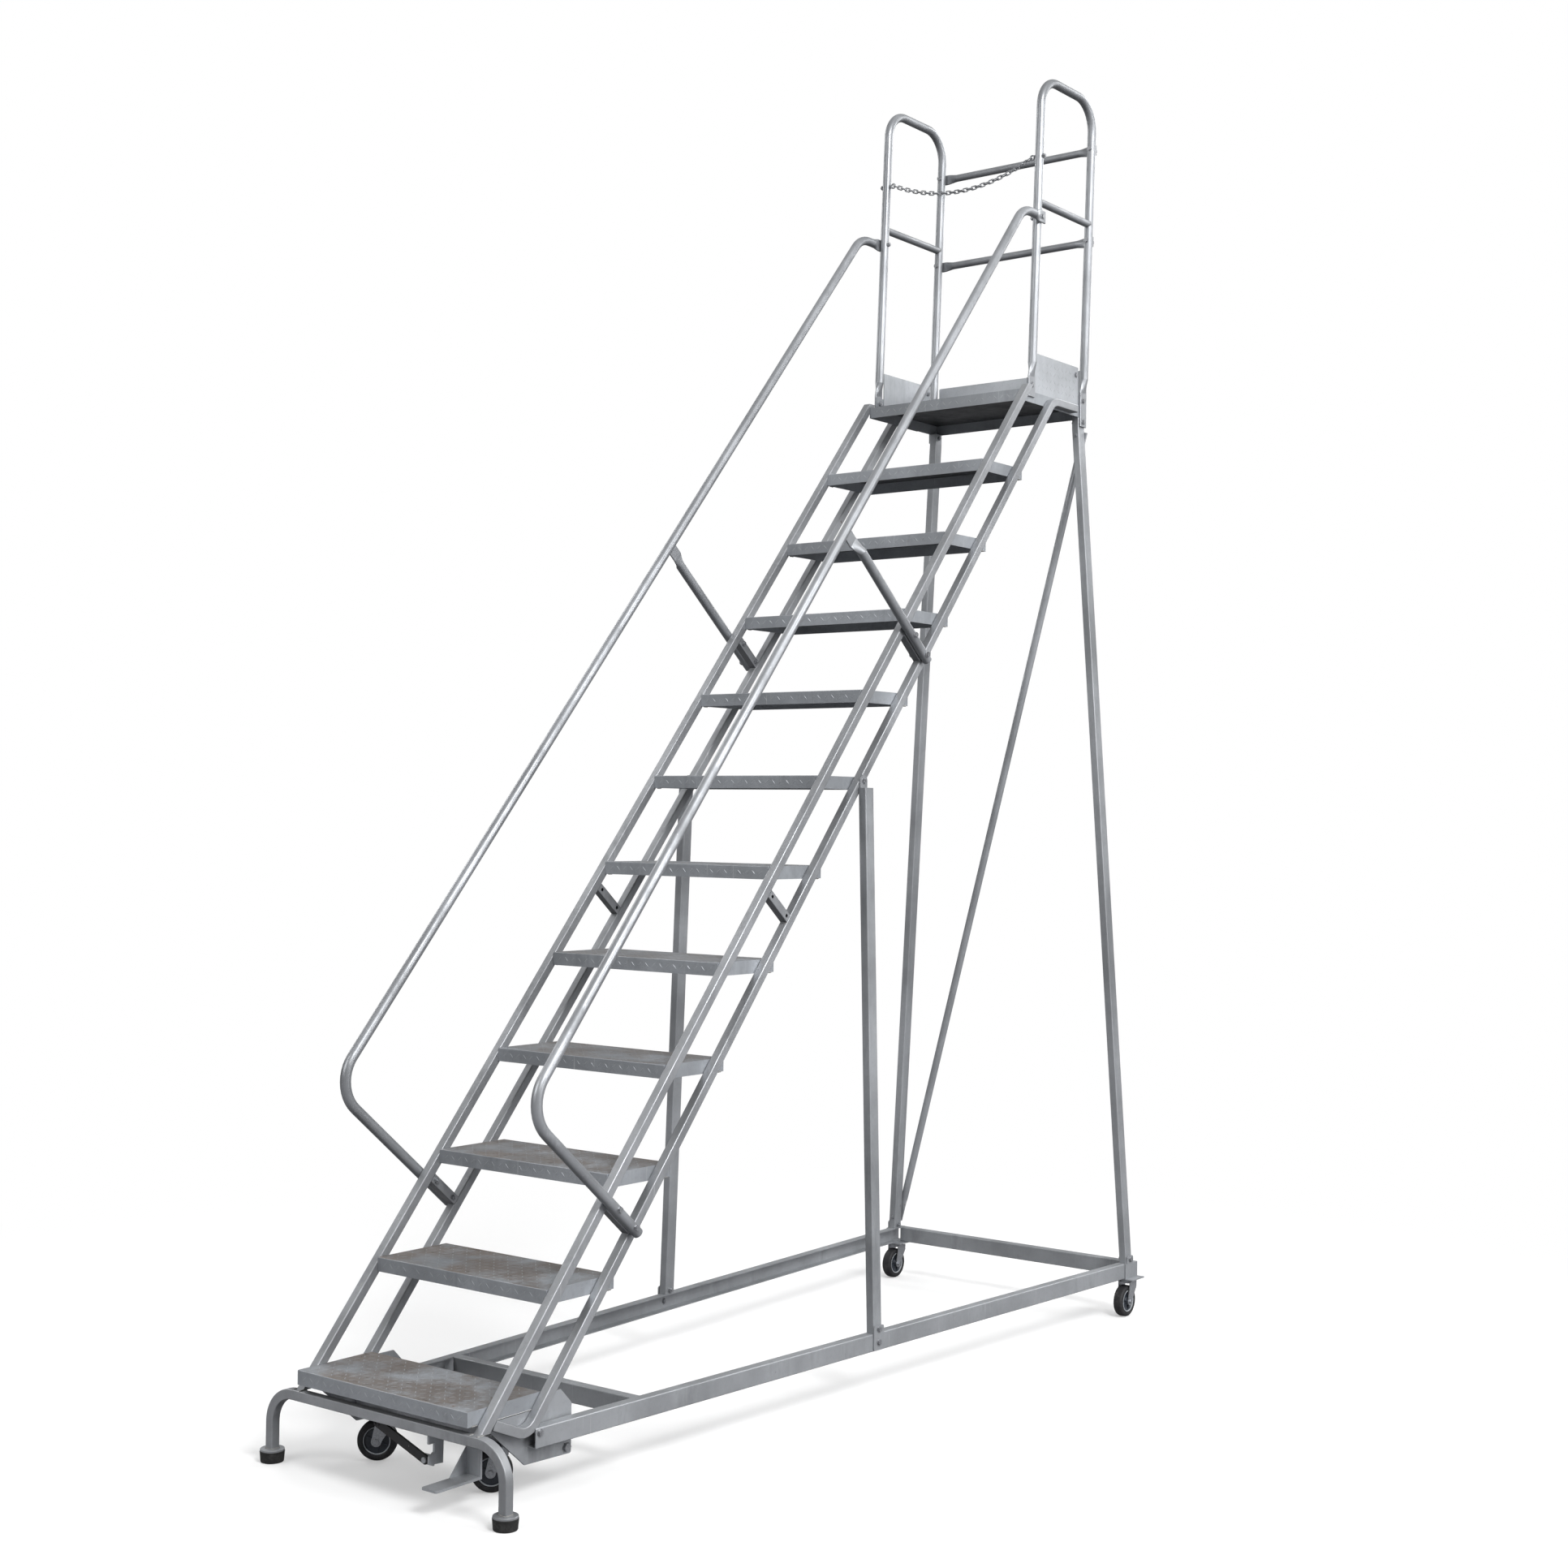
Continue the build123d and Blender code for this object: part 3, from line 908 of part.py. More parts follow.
# ---- front caster carriage, pedal and latch ----------------------------------------------------
ARM_SHEET = 6.0
ARM_GAP = 0.6
ARM_OUTER = STEP_X - PLATE - ARM_GAP
ARM_EYE = 16.0
BEAM_DEPTH = 40.0
BEAM_TOP = CASTER_TOP + TUBE
with BuildPart() as caster_carriage:
    with BuildSketch(Plane((0, FRONT_CASTER_Y, CASTER_TOP + TUBE / 2), x_dir=(0, 1, 0), z_dir=(1, 0, 0))):
        RectangleRounded(BEAM_DEPTH, TUBE, TUBE_CORNER)
        RectangleRounded(BEAM_DEPTH - 2 * TUBE_WALL, TUBE - 2 * TUBE_WALL, TUBE_CORNER - TUBE_WALL,
                         mode=Mode.SUBTRACT)
    extrude(amount=ARM_OUTER - ARM_SHEET, both=True)
    for arm_start in (-ARM_OUTER, ARM_OUTER - ARM_SHEET):
        with BuildSketch(Plane.YZ.offset(arm_start)):
            with BuildLine():
                Polyline(
                    (FRONT_CASTER_Y - BEAM_DEPTH / 2, BEAM_TOP),
                    (FRONT_CASTER_Y + BEAM_DEPTH / 2, BEAM_TOP),
                    (PIVOT_Y + 10.0, PIVOT_Z + 12.0),
                    (PIVOT_Y - 8.0, PIVOT_Z - 14.0),
                    (FRONT_CASTER_Y - BEAM_DEPTH / 2, CASTER_TOP),
                    close=True,
                )
            make_face()
            with Locations((PIVOT_Y, PIVOT_Z)):
                Circle(ARM_EYE)
                Circle(PIVOT_RADIUS + FIT, mode=Mode.SUBTRACT)
        extrude(amount=ARM_SHEET)
    for caster_x in (-FRONT_CASTER_X, FRONT_CASTER_X):
        caster_top(caster_x, FRONT_CASTER_Y)
keep("caster_carriage", caster_carriage)

PIVOT_HEX = 11.0
PIVOT_HEAD = 8.0
PIVOT_START = STEP_X - PLATE - ARM_SHEET - 10.0
with BuildPart() as pivot_bolt_right:
    with BuildSketch(Plane.YZ.offset(PIVOT_START)):
        with Locations((PIVOT_Y, PIVOT_Z)):
            Circle(PIVOT_RADIUS)
    extrude(amount=STEP_X + PIVOT_HEAD - PIVOT_START)
    for start, reach in ((STEP_X + HOLE_GAP, PIVOT_HEAD), (ARM_OUTER - ARM_SHEET - SEAT_PLAY, -PIVOT_HEAD)):
        with BuildSketch(Plane.YZ.offset(start)):
            with Locations((PIVOT_Y, PIVOT_Z)):
                RegularPolygon(PIVOT_HEX, 6)
        extrude(amount=reach)
with BuildPart() as pivot_bolts:
    add(pivot_bolt_right.part)
    mirror(pivot_bolt_right.part, about=Plane.YZ)
keep("pivot_bolts", pivot_bolts)

PEDAL_WIDTH = 50.0
PEDAL_CORNER = 5.0
POST_Y = 64.0
GUSSET_RUN = 58.0
GUSSET_RISE = 62.0
GUSSET_SHEET = 4.0
with BuildPart() as pedal:
    with BuildSketch(Plane.XY.offset(PEDAL_Z - ARM_SHEET)):
        with Locations((PEDAL_X, (PEDAL_TIP_Y + POST_Y) / 2)):
            Rectangle(PEDAL_WIDTH, POST_Y - PEDAL_TIP_Y)
    extrude(amount=ARM_SHEET)
    tip_edges = pedal.edges().filter_by(Axis.Z).group_by(Axis.Y)[0]
    fillet(tip_edges, PEDAL_CORNER)
    with BuildSketch(Plane.XY.offset(PEDAL_Z)):
        with Locations((PEDAL_X, POST_Y - ARM_SHEET / 2)):
            Rectangle(PEDAL_WIDTH, ARM_SHEET)
    extrude(amount=BEAM_TOP - PEDAL_Z)
    with BuildSketch(Plane.YZ.offset(PEDAL_X - PEDAL_WIDTH / 2)):
        with BuildLine():
            Polyline(
                (POST_Y - GUSSET_RUN, PEDAL_Z),
                (POST_Y - ARM_SHEET, PEDAL_Z),
                (POST_Y - ARM_SHEET, PEDAL_Z + GUSSET_RISE),
                close=True,
            )
        make_face()
    extrude(amount=GUSSET_SHEET)
    with BuildSketch(Plane.XZ.offset(-POST_Y)):
        with Locations((PEDAL_X, CASTER_TOP + TUBE / 2)):
            RectangleRounded(TUBE, TUBE, TUBE_CORNER)
            RectangleRounded(TUBE - 2 * TUBE_WALL, TUBE - 2 * TUBE_WALL, TUBE_CORNER - TUBE_WALL,
                             mode=Mode.SUBTRACT)
    extrude(amount=-(FRONT_CASTER_Y - BEAM_DEPTH / 2 - POST_Y))
keep("pedal", pedal)

HOOK_SHEET = 6.0
HOOK_FRONT = FOOT_BAR_Y + 5.0
HOOK_DEPTH = 48.0
HOOK_LENGTH = 78.0
HOOK_NOTCH = 18.0
LUG_HEIGHT = 24.0
LUG_REACH = 11.0
LEVER_WIDTH = 22.0
LEVER_RING = 9.0
BAR_UNDER = FOOT_BAR_Z - TUBE / 2
LEVER_BACK = FOOT_BAR_Y + TUBE / 2 + 8.0
with BuildPart() as hook_plate:
    with BuildSketch(Plane.YZ.offset(HOOK_X - HOOK_SHEET / 2)):
        with BuildLine():
            Polyline(
                (HOOK_FRONT, BAR_UNDER),
                (HOOK_FRONT, BAR_UNDER - 26.0),
                (HOOK_FRONT + HOOK_NOTCH, BAR_UNDER - 26.0),
                (HOOK_FRONT + HOOK_NOTCH, BAR_UNDER - 47.0),
                (HOOK_FRONT + 2.0, BAR_UNDER - 55.0),
                (HOOK_FRONT + 2.0, BAR_UNDER - HOOK_LENGTH + 4.0),
                (HOOK_FRONT + HOOK_DEPTH - 2.0, BAR_UNDER - HOOK_LENGTH),
                (HOOK_FRONT + HOOK_DEPTH, BAR_UNDER),
                close=True,
            )
        make_face()
    extrude(amount=HOOK_SHEET)
    with BuildSketch(Plane.XZ.offset(-LEVER_BACK - 1.0)):
        with Locations(((LEVER_X - LUG_REACH + HOOK_X) / 2, LEVER_Z)):
            Rectangle(HOOK_X - LEVER_X + LUG_REACH, LUG_HEIGHT)
    extrude(amount=-PLATE)
    with Locations(Location((LEVER_X, LEVER_BACK - 3.0, LEVER_Z), (90, 0, 0))):
        Cylinder(BOLT_RADIUS, 12.0)
    with Locations(Location((LEVER_X, LEVER_BACK - ARM_SHEET - 2.5, LEVER_Z), (90, 0, 0))):
        Cylinder(7.0, 4.0)
keep("hook_plate", hook_plate)

LEVER_DIR = (-cos(radians(LEVER_RISE)), 0, sin(radians(LEVER_RISE)))
with BuildPart() as latch_lever:
    lever_plane = Plane((LEVER_X, LEVER_BACK, LEVER_Z), x_dir=LEVER_DIR, z_dir=(0, -1, 0))
    with BuildSketch(lever_plane):
        with Locations((LEVER_LENGTH / 2, 0)):
            SlotCenterToCenter(LEVER_LENGTH, LEVER_WIDTH)
        Circle(BOLT_RADIUS + FIT, mode=Mode.SUBTRACT)
    extrude(amount=ARM_SHEET)
    ring_centre = lever_plane.origin + Vector(LEVER_DIR) * LEVER_LENGTH
    ring_plane = Plane(ring_centre, x_dir=(1, 0, 0), z_dir=(0, -1, 0))
    with BuildSketch(ring_plane.offset(ARM_SHEET)):
        Circle(LEVER_RING)
        Circle(LEVER_RING / 2, mode=Mode.SUBTRACT)
    extrude(amount=1.5)
keep("latch_lever", latch_lever)

# ---- safety chain --------------------------------------------------------------------------
EYE_RADIUS = 7.0
EYE_WIRE = 5.0
LINK_LENGTH = 26.0
LINK_WIDTH = 15.0
LINK_PITCH = LINK_LENGTH - 2 * CHAIN_WIRE - 0.2
CHAIN_Y = post_y(GUARD_FRONT_Y, CHAIN_Z)
EYE_X = POST_X - ROUND - 3.0 - EYE_RADIUS - EYE_WIRE / 2
with BuildPart() as eye_right:
    with Locations(Location((EYE_X, CHAIN_Y, CHAIN_Z), (90, 0, 0))):
        Torus(EYE_RADIUS, EYE_WIRE / 2)
    with BuildSketch(Plane.YZ.offset(EYE_X + EYE_RADIUS)):
        with Locations((CHAIN_Y, CHAIN_Z)):
            Circle(BOLT_RADIUS)
    extrude(amount=POST_X + ROUND + NUT_HEIGHT + THREAD_END - EYE_X - EYE_RADIUS)
    with BuildSketch(Plane.YZ.offset(POST_X + ROUND + HOLE_GAP)):
        with Locations((CHAIN_Y, CHAIN_Z)):
            RegularPolygon(HEX_RADIUS, 6)
    extrude(amount=NUT_HEIGHT)
    with BuildSketch(Plane.YZ.offset(POST_X - ROUND - HOLE_GAP)):
        with Locations((CHAIN_Y, CHAIN_Z)):
            RegularPolygon(HEX_RADIUS, 6)
    extrude(amount=-PLATE / 2)
with BuildPart() as chain_eyes:
    add(eye_right.part)
    mirror(eye_right.part, about=Plane.YZ)
keep("chain_eyes", chain_eyes)

CHAIN_SPAN = EYE_X - EYE_RADIUS + (EYE_WIRE + CHAIN_WIRE) / 2 + HOLE_GAP
CURVE_STEPS = 400
CHAIN_STEP = 0.05


def chain_z(x):
    """Height of the hanging chain at x."""
    return CHAIN_Z - CHAIN_SAG * (1.0 - (x / CHAIN_SPAN) ** 2)


def chain_length():
    """Length of the hanging chain between the two eyes."""
    width = 2 * CHAIN_SPAN / CURVE_STEPS
    stations = [-CHAIN_SPAN + width * index for index in range(CURVE_STEPS + 1)]
    return sum(hypot(width, chain_z(b) - chain_z(a)) for a, b in zip(stations, stations[1:]))


LINK_REACH = LINK_LENGTH / 2 - CHAIN_WIRE / 2
LINK_COUNT = 2 * int((chain_length() - 2 * LINK_REACH) / (2 * LINK_PITCH)) + 3
LINK_STEP = (chain_length() - 2 * LINK_REACH) / (LINK_COUNT - 1)
with BuildPart() as link:
    with BuildLine() as link_line:
        straight = (LINK_LENGTH - LINK_WIDTH) / 2
        radius = (LINK_WIDTH - CHAIN_WIRE) / 2
        Line((-straight, -radius), (straight, -radius))
        RadiusArc((straight, -radius), (straight, radius), -radius)
        Line((straight, radius), (-straight, radius))
        RadiusArc((-straight, radius), (-straight, -radius), -radius)
    with BuildSketch(Plane((-straight, -radius, 0), z_dir=(1, 0, 0))):
        Circle(CHAIN_WIRE / 2)
    sweep(path=link_line.line)

with BuildPart() as safety_chain:
    travel = -LINK_REACH
    placed = 0
    x = -CHAIN_SPAN
    while placed < LINK_COUNT:
        rise = (chain_z(x + CHAIN_STEP) - chain_z(x)) / CHAIN_STEP
        if travel >= placed * LINK_STEP:
            along_chain = Vector(1, 0, rise).normalized()
            if placed % 2 == 0:
                face = Vector(-rise, 0, 1).normalized()
            else:
                face = Vector(0, 1, 0)
            with Locations(Plane((x, CHAIN_Y, chain_z(x)), x_dir=along_chain, z_dir=face).location):
                add(link.part)
            placed = placed + 1
        x = x + CHAIN_STEP
        travel = travel + CHAIN_STEP * hypot(1.0, rise)
keep("safety_chain", safety_chain)

# ---- bolts ---------------------------------------------------------------------------------
with BuildPart() as bolts_right:
    outer = HANDRAIL_LOW_X + ROUND + HOLE_GAP
    for along in (BRACKETS[0], BRACKETS[2]):
        for behind in HOLES:
            bolt((outer, *slope_point(behind, along)), (1, 0, 0), outer - STEP_X + HOLE_GAP)
    bolt((HANDRAIL_TOP_X + FLAT / 2, HANDRAIL_POST_Y, HANDRAIL_TOP_Z), (1, 0, 0), FLAT + 2 * ROUND + HOLE_GAP)
    bolt((OUTER_X + PLATE, LUG_Y, LUG_Z), (1, 0, 0), PLATE + TUBE_WALL)
    foot_grip = CASTER_SHEET + SEAT_PLAY + STRUT_PLAY + STRUT_X + HOLE_GAP
    nut_rise = CLIP_BOLT_Z + HEX_RADIUS - RAIL_TOP
    clip_face = rail_x(MID_STRUT_Y) + CASTER_SHEET + SEAT_PLAY
    bolt((clip_face, MID_STRUT_Y, RAIL_MID_Z), (1, 0, 0), CASTER_SHEET + RAIL_SHEET + 2 * SEAT_PLAY)
    bolt((clip_face, MID_STRUT_Y, CLIP_BOLT_Z), (1, 0, 0), foot_grip + nut_rise * MID_LEAN)
    tongue_face = POST_X + FLAT / 2
    bolt((tongue_face, REAR_STRUT_TOP_Y, STRUT_BOLT_Z), (1, 0, 0), FLAT + STRUT_X)
    for foot_y in (GUARD_FRONT_Y, REAR_EAR_Y):
        bolt((tongue_face, foot_y, EAR_BOLT_Z), (1, 0, 0), FLAT + SHEET)
    corner_face = rail_x(CORNER_Y) + CASTER_SHEET + SEAT_PLAY
    bolt((corner_face, CORNER_Y, CLIP_BOLT_Z), (1, 0, 0), foot_grip + nut_rise * REAR_LEAN)
    rail_face = rail_x(RAIL_BOLT_Y) + SEAT_PLAY
    bolt((rail_face, RAIL_BOLT_Y, RAIL_BOLT_Z), (1, 0, 0), rail_face - STEP_X + PLATE)
    for bar_z in (LOWER_BAR_Z, UPPER_BAR_Z):
        bar_seat = post_y(GUARD_REAR_Y, bar_z) - ROUND - SEAT_PLAY
        bolt((POST_X, bar_seat, bar_z), (0, -1, 0), bar_y(bar_z) + FLAT / 2 - bar_seat)
    bolt((STEP_X, KICK_BOLT_Y, KICK_BOLT_Z), (1, 0, 0), SHEET)
brace_grip = FLAT + BRACE_GAP + STRUT_Y + HOLE_GAP
brace_seat = Vector(BRACE_NORMAL).normalized() * (FLAT - BAR_RADIUS)
with BuildPart() as frame_bolts:
    add(bolts_right.part)
    mirror(bolts_right.part, about=Plane.YZ)
    bolt(BRACE_LOW + brace_seat, BRACE_NORMAL, brace_grip)
    bolt(BRACE_HIGH + brace_seat, BRACE_NORMAL, brace_grip)
keep("frame_bolts", frame_bolts)

# ---- export --------------------------------------------------------------------------------
os.makedirs("parts", exist_ok=True)
for name, builder in pieces.items():
    builder.part.move(Location((0, -ORIGIN_Y, 0)))
    builder.part.label = name
    export_step(builder.part, f"parts/{name}.step")
    print(name, len(builder.part.solids()), round(builder.part.volume), builder.part.is_valid)
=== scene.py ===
"""Looks of the rolling warehouse ladder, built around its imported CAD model.  Lengths are in metres."""
import json
import math
import random

import bmesh
import bpy
from mathutils import Matrix, Vector


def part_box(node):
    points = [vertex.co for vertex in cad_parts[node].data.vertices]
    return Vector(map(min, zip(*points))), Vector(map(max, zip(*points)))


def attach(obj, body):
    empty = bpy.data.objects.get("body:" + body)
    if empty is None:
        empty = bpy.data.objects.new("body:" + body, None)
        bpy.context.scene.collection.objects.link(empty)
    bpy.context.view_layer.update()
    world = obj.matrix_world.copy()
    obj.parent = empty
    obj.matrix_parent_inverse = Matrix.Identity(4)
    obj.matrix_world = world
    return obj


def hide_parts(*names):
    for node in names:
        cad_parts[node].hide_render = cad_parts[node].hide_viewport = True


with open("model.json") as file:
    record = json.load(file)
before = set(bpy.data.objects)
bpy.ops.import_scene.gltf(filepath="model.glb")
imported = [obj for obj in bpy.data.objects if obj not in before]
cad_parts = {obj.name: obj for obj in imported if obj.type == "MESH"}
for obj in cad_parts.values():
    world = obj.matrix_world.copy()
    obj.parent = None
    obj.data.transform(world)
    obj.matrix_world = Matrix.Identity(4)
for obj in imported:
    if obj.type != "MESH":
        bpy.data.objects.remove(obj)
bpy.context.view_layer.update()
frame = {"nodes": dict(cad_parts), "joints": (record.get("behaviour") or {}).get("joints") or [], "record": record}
SEED = 11
random.seed(SEED)
NODES = frame["nodes"]
JOINTS = {joint["name"]: joint for joint in frame["joints"]}

# ---- camera, light and floor ---------------------------------------------------------------
CAMERA_PLACE = Vector((3.8662, -4.9281, 1.6169))
YAW, PITCH, ROLL = math.radians(37.41), math.radians(0.88), math.radians(0.73)
SENSOR = 36.0
LENS = 49.58
CLIP_END = 60.0
FLOOR_REACH = 30.0
FLOOR_TONE = (0.95, 0.95, 0.95, 1.0)
FLOOR_ROUGHNESS = 0.9
FLOOR_BOUNCE = (0.30, 0.30, 0.31, 1.0)
FADE_START = 1.3
FADE_END = 3.6
FADE_LEAST = 0.25
WHITE = (1.0, 1.0, 1.0, 1.0)
SKY_LOW = (0.10, 0.105, 0.115, 1.0)
SKY_LOW_AT, SKY_HIGH_AT = 0.42, 0.85
SKY_STRENGTH = 0.50
LIT_POINT = (0.0, 0.0, 1.7)
# name, place, width and height, watts
LIGHTS = (
    ("key", (6.5, -2.5, 7.5), (3.0, 3.0), 640.0),
    ("right", (8.5, 2.5, 4.5), (4.0, 4.0), 430.0),
    ("front", (-1.5, -7.5, 5.0), (4.0, 4.0), 180.0),
    ("side", (-6.5, 0.5, 5.0), (2.0, 5.0), 110.0),
    ("back", (1.0, 7.5, 6.0), (5.0, 3.0), 200.0),
)


def make_camera():
    """Camera at the viewing angle, a little below half the height of the ladder."""
    ahead = Vector((-math.sin(YAW) * math.cos(PITCH), math.cos(YAW) * math.cos(PITCH), math.sin(PITCH)))
    right = Vector((math.cos(YAW), math.sin(YAW), 0.0))
    up = right.cross(ahead)
    rolled_right = math.cos(ROLL) * right + math.sin(ROLL) * up
    rolled_up = -math.sin(ROLL) * right + math.cos(ROLL) * up
    data = bpy.data.cameras.new("camera")
    data.sensor_width = SENSOR
    data.lens = LENS
    data.clip_end = CLIP_END
    camera = bpy.data.objects.new("camera", data)
    turn = Matrix((rolled_right, rolled_up, -ahead)).transposed().to_4x4()
    camera.matrix_world = Matrix.Translation(CAMERA_PLACE) @ turn
    bpy.context.scene.collection.objects.link(camera)
    bpy.context.scene.camera = camera


def area_light(name, place, size, power):
    """Large soft light that faces the middle of the ladder."""
    data = bpy.data.lights.new(name, "AREA")
    data.shape = "RECTANGLE"
    data.size, data.size_y = size
    data.energy = power
    lamp = bpy.data.objects.new(name, data)
    lamp.location = place
    lamp.rotation_euler = (Vector(LIT_POINT) - Vector(place)).to_track_quat("-Z", "Y").to_euler()
    bpy.context.scene.collection.objects.link(lamp)


def make_floor():
    """Pale floor that keeps the shadows near the ladder and turns white further out."""
    mesh = bpy.data.meshes.new("floor")
    reach = FLOOR_REACH
    corners = [(-reach, -reach, 0), (reach, -reach, 0), (reach, reach, 0), (-reach, reach, 0)]
    mesh.from_pydata(corners, [], [(0, 1, 2, 3)])
    floor = bpy.data.objects.new("floor", mesh)
    bpy.context.scene.collection.objects.link(floor)
    paint = bpy.data.materials.new("floor")
    paint.use_nodes = True
    nodes, links = paint.node_tree.nodes, paint.node_tree.links
    near = nodes["Principled BSDF"]
    near.inputs["Base Color"].default_value = FLOOR_TONE
    near.inputs["Roughness"].default_value = FLOOR_ROUGHNESS
    far = nodes.new("ShaderNodeEmission")
    far.inputs["Strength"].default_value = 1.0
    bounce = nodes.new("ShaderNodeBsdfDiffuse")
    bounce.inputs["Color"].default_value = FLOOR_BOUNCE
    distance = nodes.new("ShaderNodeVectorMath")
    distance.operation = "LENGTH"
    fade = nodes.new("ShaderNodeMapRange")
    fade.interpolation_type = "SMOOTHSTEP"
    fade.inputs["From Min"].default_value = FADE_START
    fade.inputs["From Max"].default_value = FADE_END
    fade.inputs["To Min"].default_value = FADE_LEAST
    shown = nodes.new("ShaderNodeMixShader")
    blend = nodes.new("ShaderNodeMixShader")
    links.new(nodes.new("ShaderNodeTexCoord").outputs["Object"], distance.inputs[0])
    links.new(distance.outputs["Value"], fade.inputs["Value"])
    links.new(fade.outputs["Result"], shown.inputs[0])
    links.new(near.outputs[0], shown.inputs[1])
    links.new(far.outputs[0], shown.inputs[2])
    links.new(nodes.new("ShaderNodeLightPath").outputs["Is Camera Ray"], blend.inputs[0])
    links.new(bounce.outputs[0], blend.inputs[1])
    links.new(shown.outputs[0], blend.inputs[2])
    links.new(blend.outputs[0], nodes["Material Output"].inputs[0])
    mesh.materials.append(paint)


def make_studio():
    """White surroundings and five soft lights."""
    world = bpy.data.worlds.new("studio")
    bpy.context.scene.world = world
    world.use_nodes = True
    nodes, links = world.node_tree.nodes, world.node_tree.links
    shown = nodes["Background"]
    shown.inputs["Color"].default_value = WHITE
    shown.inputs["Strength"].default_value = 1.0
    fill = nodes.new("ShaderNodeBackground")
    fill.inputs["Strength"].default_value = SKY_STRENGTH
    coord = nodes.new("ShaderNodeTexCoord")
    split = nodes.new("ShaderNodeSeparateXYZ")
    ramp = nodes.new("ShaderNodeValToRGB")
    ramp.color_ramp.elements[0].position = SKY_LOW_AT
    ramp.color_ramp.elements[0].color = SKY_LOW
    ramp.color_ramp.elements[1].position = SKY_HIGH_AT
    ramp.color_ramp.elements[1].color = WHITE
    half = nodes.new("ShaderNodeMath")
    half.operation = "MULTIPLY_ADD"
    half.inputs[1].default_value = 0.5
    half.inputs[2].default_value = 0.5
    path = nodes.new("ShaderNodeLightPath")
    blend = nodes.new("ShaderNodeMixShader")
    links.new(coord.outputs["Generated"], split.inputs[0])
    links.new(split.outputs["Z"], half.inputs[0])
    links.new(half.outputs[0], ramp.inputs[0])
    links.new(ramp.outputs[0], fill.inputs["Color"])
    links.new(path.outputs["Is Camera Ray"], blend.inputs[0])
    links.new(fill.outputs[0], blend.inputs[1])
    links.new(shown.outputs[0], blend.inputs[2])
    links.new(blend.outputs[0], nodes["World Output"].inputs[0])
    for name, place, size, power in LIGHTS:
        area_light(name, place, size, power)
    bpy.context.scene.view_settings.view_transform = "Standard"


# ---- material graphs -----------------------------------------------------------------------
class Graph:
    """Short way to write the nodes of one material."""

    def __init__(self, name):
        self.material = bpy.data.materials.new(name)
        self.material.use_nodes = True
        self.nodes = self.material.node_tree.nodes
        self.links = self.material.node_tree.links
        self.shader = self.nodes["Principled BSDF"]
        self.place = self.nodes.new("ShaderNodeTexCoord").outputs["Object"]

    def put(self, socket, value):
        """Link a socket, or set it when the value is a constant."""
        if isinstance(value, bpy.types.NodeSocket):
            self.links.new(value, socket)
        else:
            socket.default_value = value

    def scaled(self, scale, turn=(0.0, 0.0, 0.0)):
        """Object coordinates, turned and stretched."""
        node = self.nodes.new("ShaderNodeMapping")
        self.put(node.inputs["Vector"], self.place)
        node.inputs["Rotation"].default_value = turn
        node.inputs["Scale"].default_value = scale
        return node.outputs[0]

    def noise(self, scale, detail=4.0, roughness=0.55, vector=None):
        """Fractal noise around one half."""
        node = self.nodes.new("ShaderNodeTexNoise")
        self.put(node.inputs["Vector"], self.place if vector is None else vector)
        node.inputs["Scale"].default_value = scale
        node.inputs["Detail"].default_value = detail
        node.inputs["Roughness"].default_value = roughness
        return node.outputs["Fac"]

    def step(self, value, low, high, start=0.0, end=1.0):
        """Smooth step of a value from low to high."""
        node = self.nodes.new("ShaderNodeMapRange")
        node.interpolation_type = "SMOOTHSTEP"
        self.put(node.inputs["Value"], value)
        node.inputs["From Min"].default_value = low
        node.inputs["From Max"].default_value = high
        node.inputs["To Min"].default_value = start
        node.inputs["To Max"].default_value = end
        return node.outputs["Result"]

    def math(self, operation, first, second):
        """One arithmetic operation."""
        node = self.nodes.new("ShaderNodeMath")
        node.operation = operation
        node.use_clamp = operation in ("ADD", "SUBTRACT")
        self.put(node.inputs[0], first)
        self.put(node.inputs[1], second)
        return node.outputs[0]

    def mix(self, factor, first, second):
        """Blend of two colours."""
        node = self.nodes.new("ShaderNodeMix")
        node.data_type = "RGBA"
        self.put(node.inputs[0], factor)
        self.put(node.inputs[6], first if isinstance(first, bpy.types.NodeSocket) else (*first, 1.0))
        self.put(node.inputs[7], second if isinstance(second, bpy.types.NodeSocket) else (*second, 1.0))
        return node.outputs[2]

    def axis(self, vector, name):
        """One component of a vector."""
        node = self.nodes.new("ShaderNodeSeparateXYZ")
        self.put(node.inputs[0], vector)
        return node.outputs[name]

    def normal(self):
        """Surface normal."""
        return self.nodes.new("ShaderNodeNewGeometry").outputs["Normal"]

    def bump(self, height, distance, under=None):
        """Bump of a height, over another bump when one is given."""
        node = self.nodes.new("ShaderNodeBump")
        node.inputs["Distance"].default_value = distance
        self.put(node.inputs["Height"], height)
        if under is not None:
            self.put(node.inputs["Normal"], under)
        return node.outputs[0]


LOWER_STEP, UPPER_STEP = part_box("step_2")[0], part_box("step_3")[0]
SLOPE_TURN = math.atan2(UPPER_STEP.z - LOWER_STEP.z, UPPER_STEP.y - LOWER_STEP.y)
RUST = (0.17, 0.075, 0.035)
RUST_DARK = (0.075, 0.04, 0.028)
WORN_METAL = (0.60, 0.61, 0.62)
WALKED_DIRT = (0.19, 0.155, 0.13)
DIRT_FLECK = (0.07, 0.055, 0.048)
RUBBER_DUST = (0.16, 0.155, 0.15)
WALKED_LOW, WALKED_HIGH = 0.3, 2.3     # the treads grow cleaner between these heights


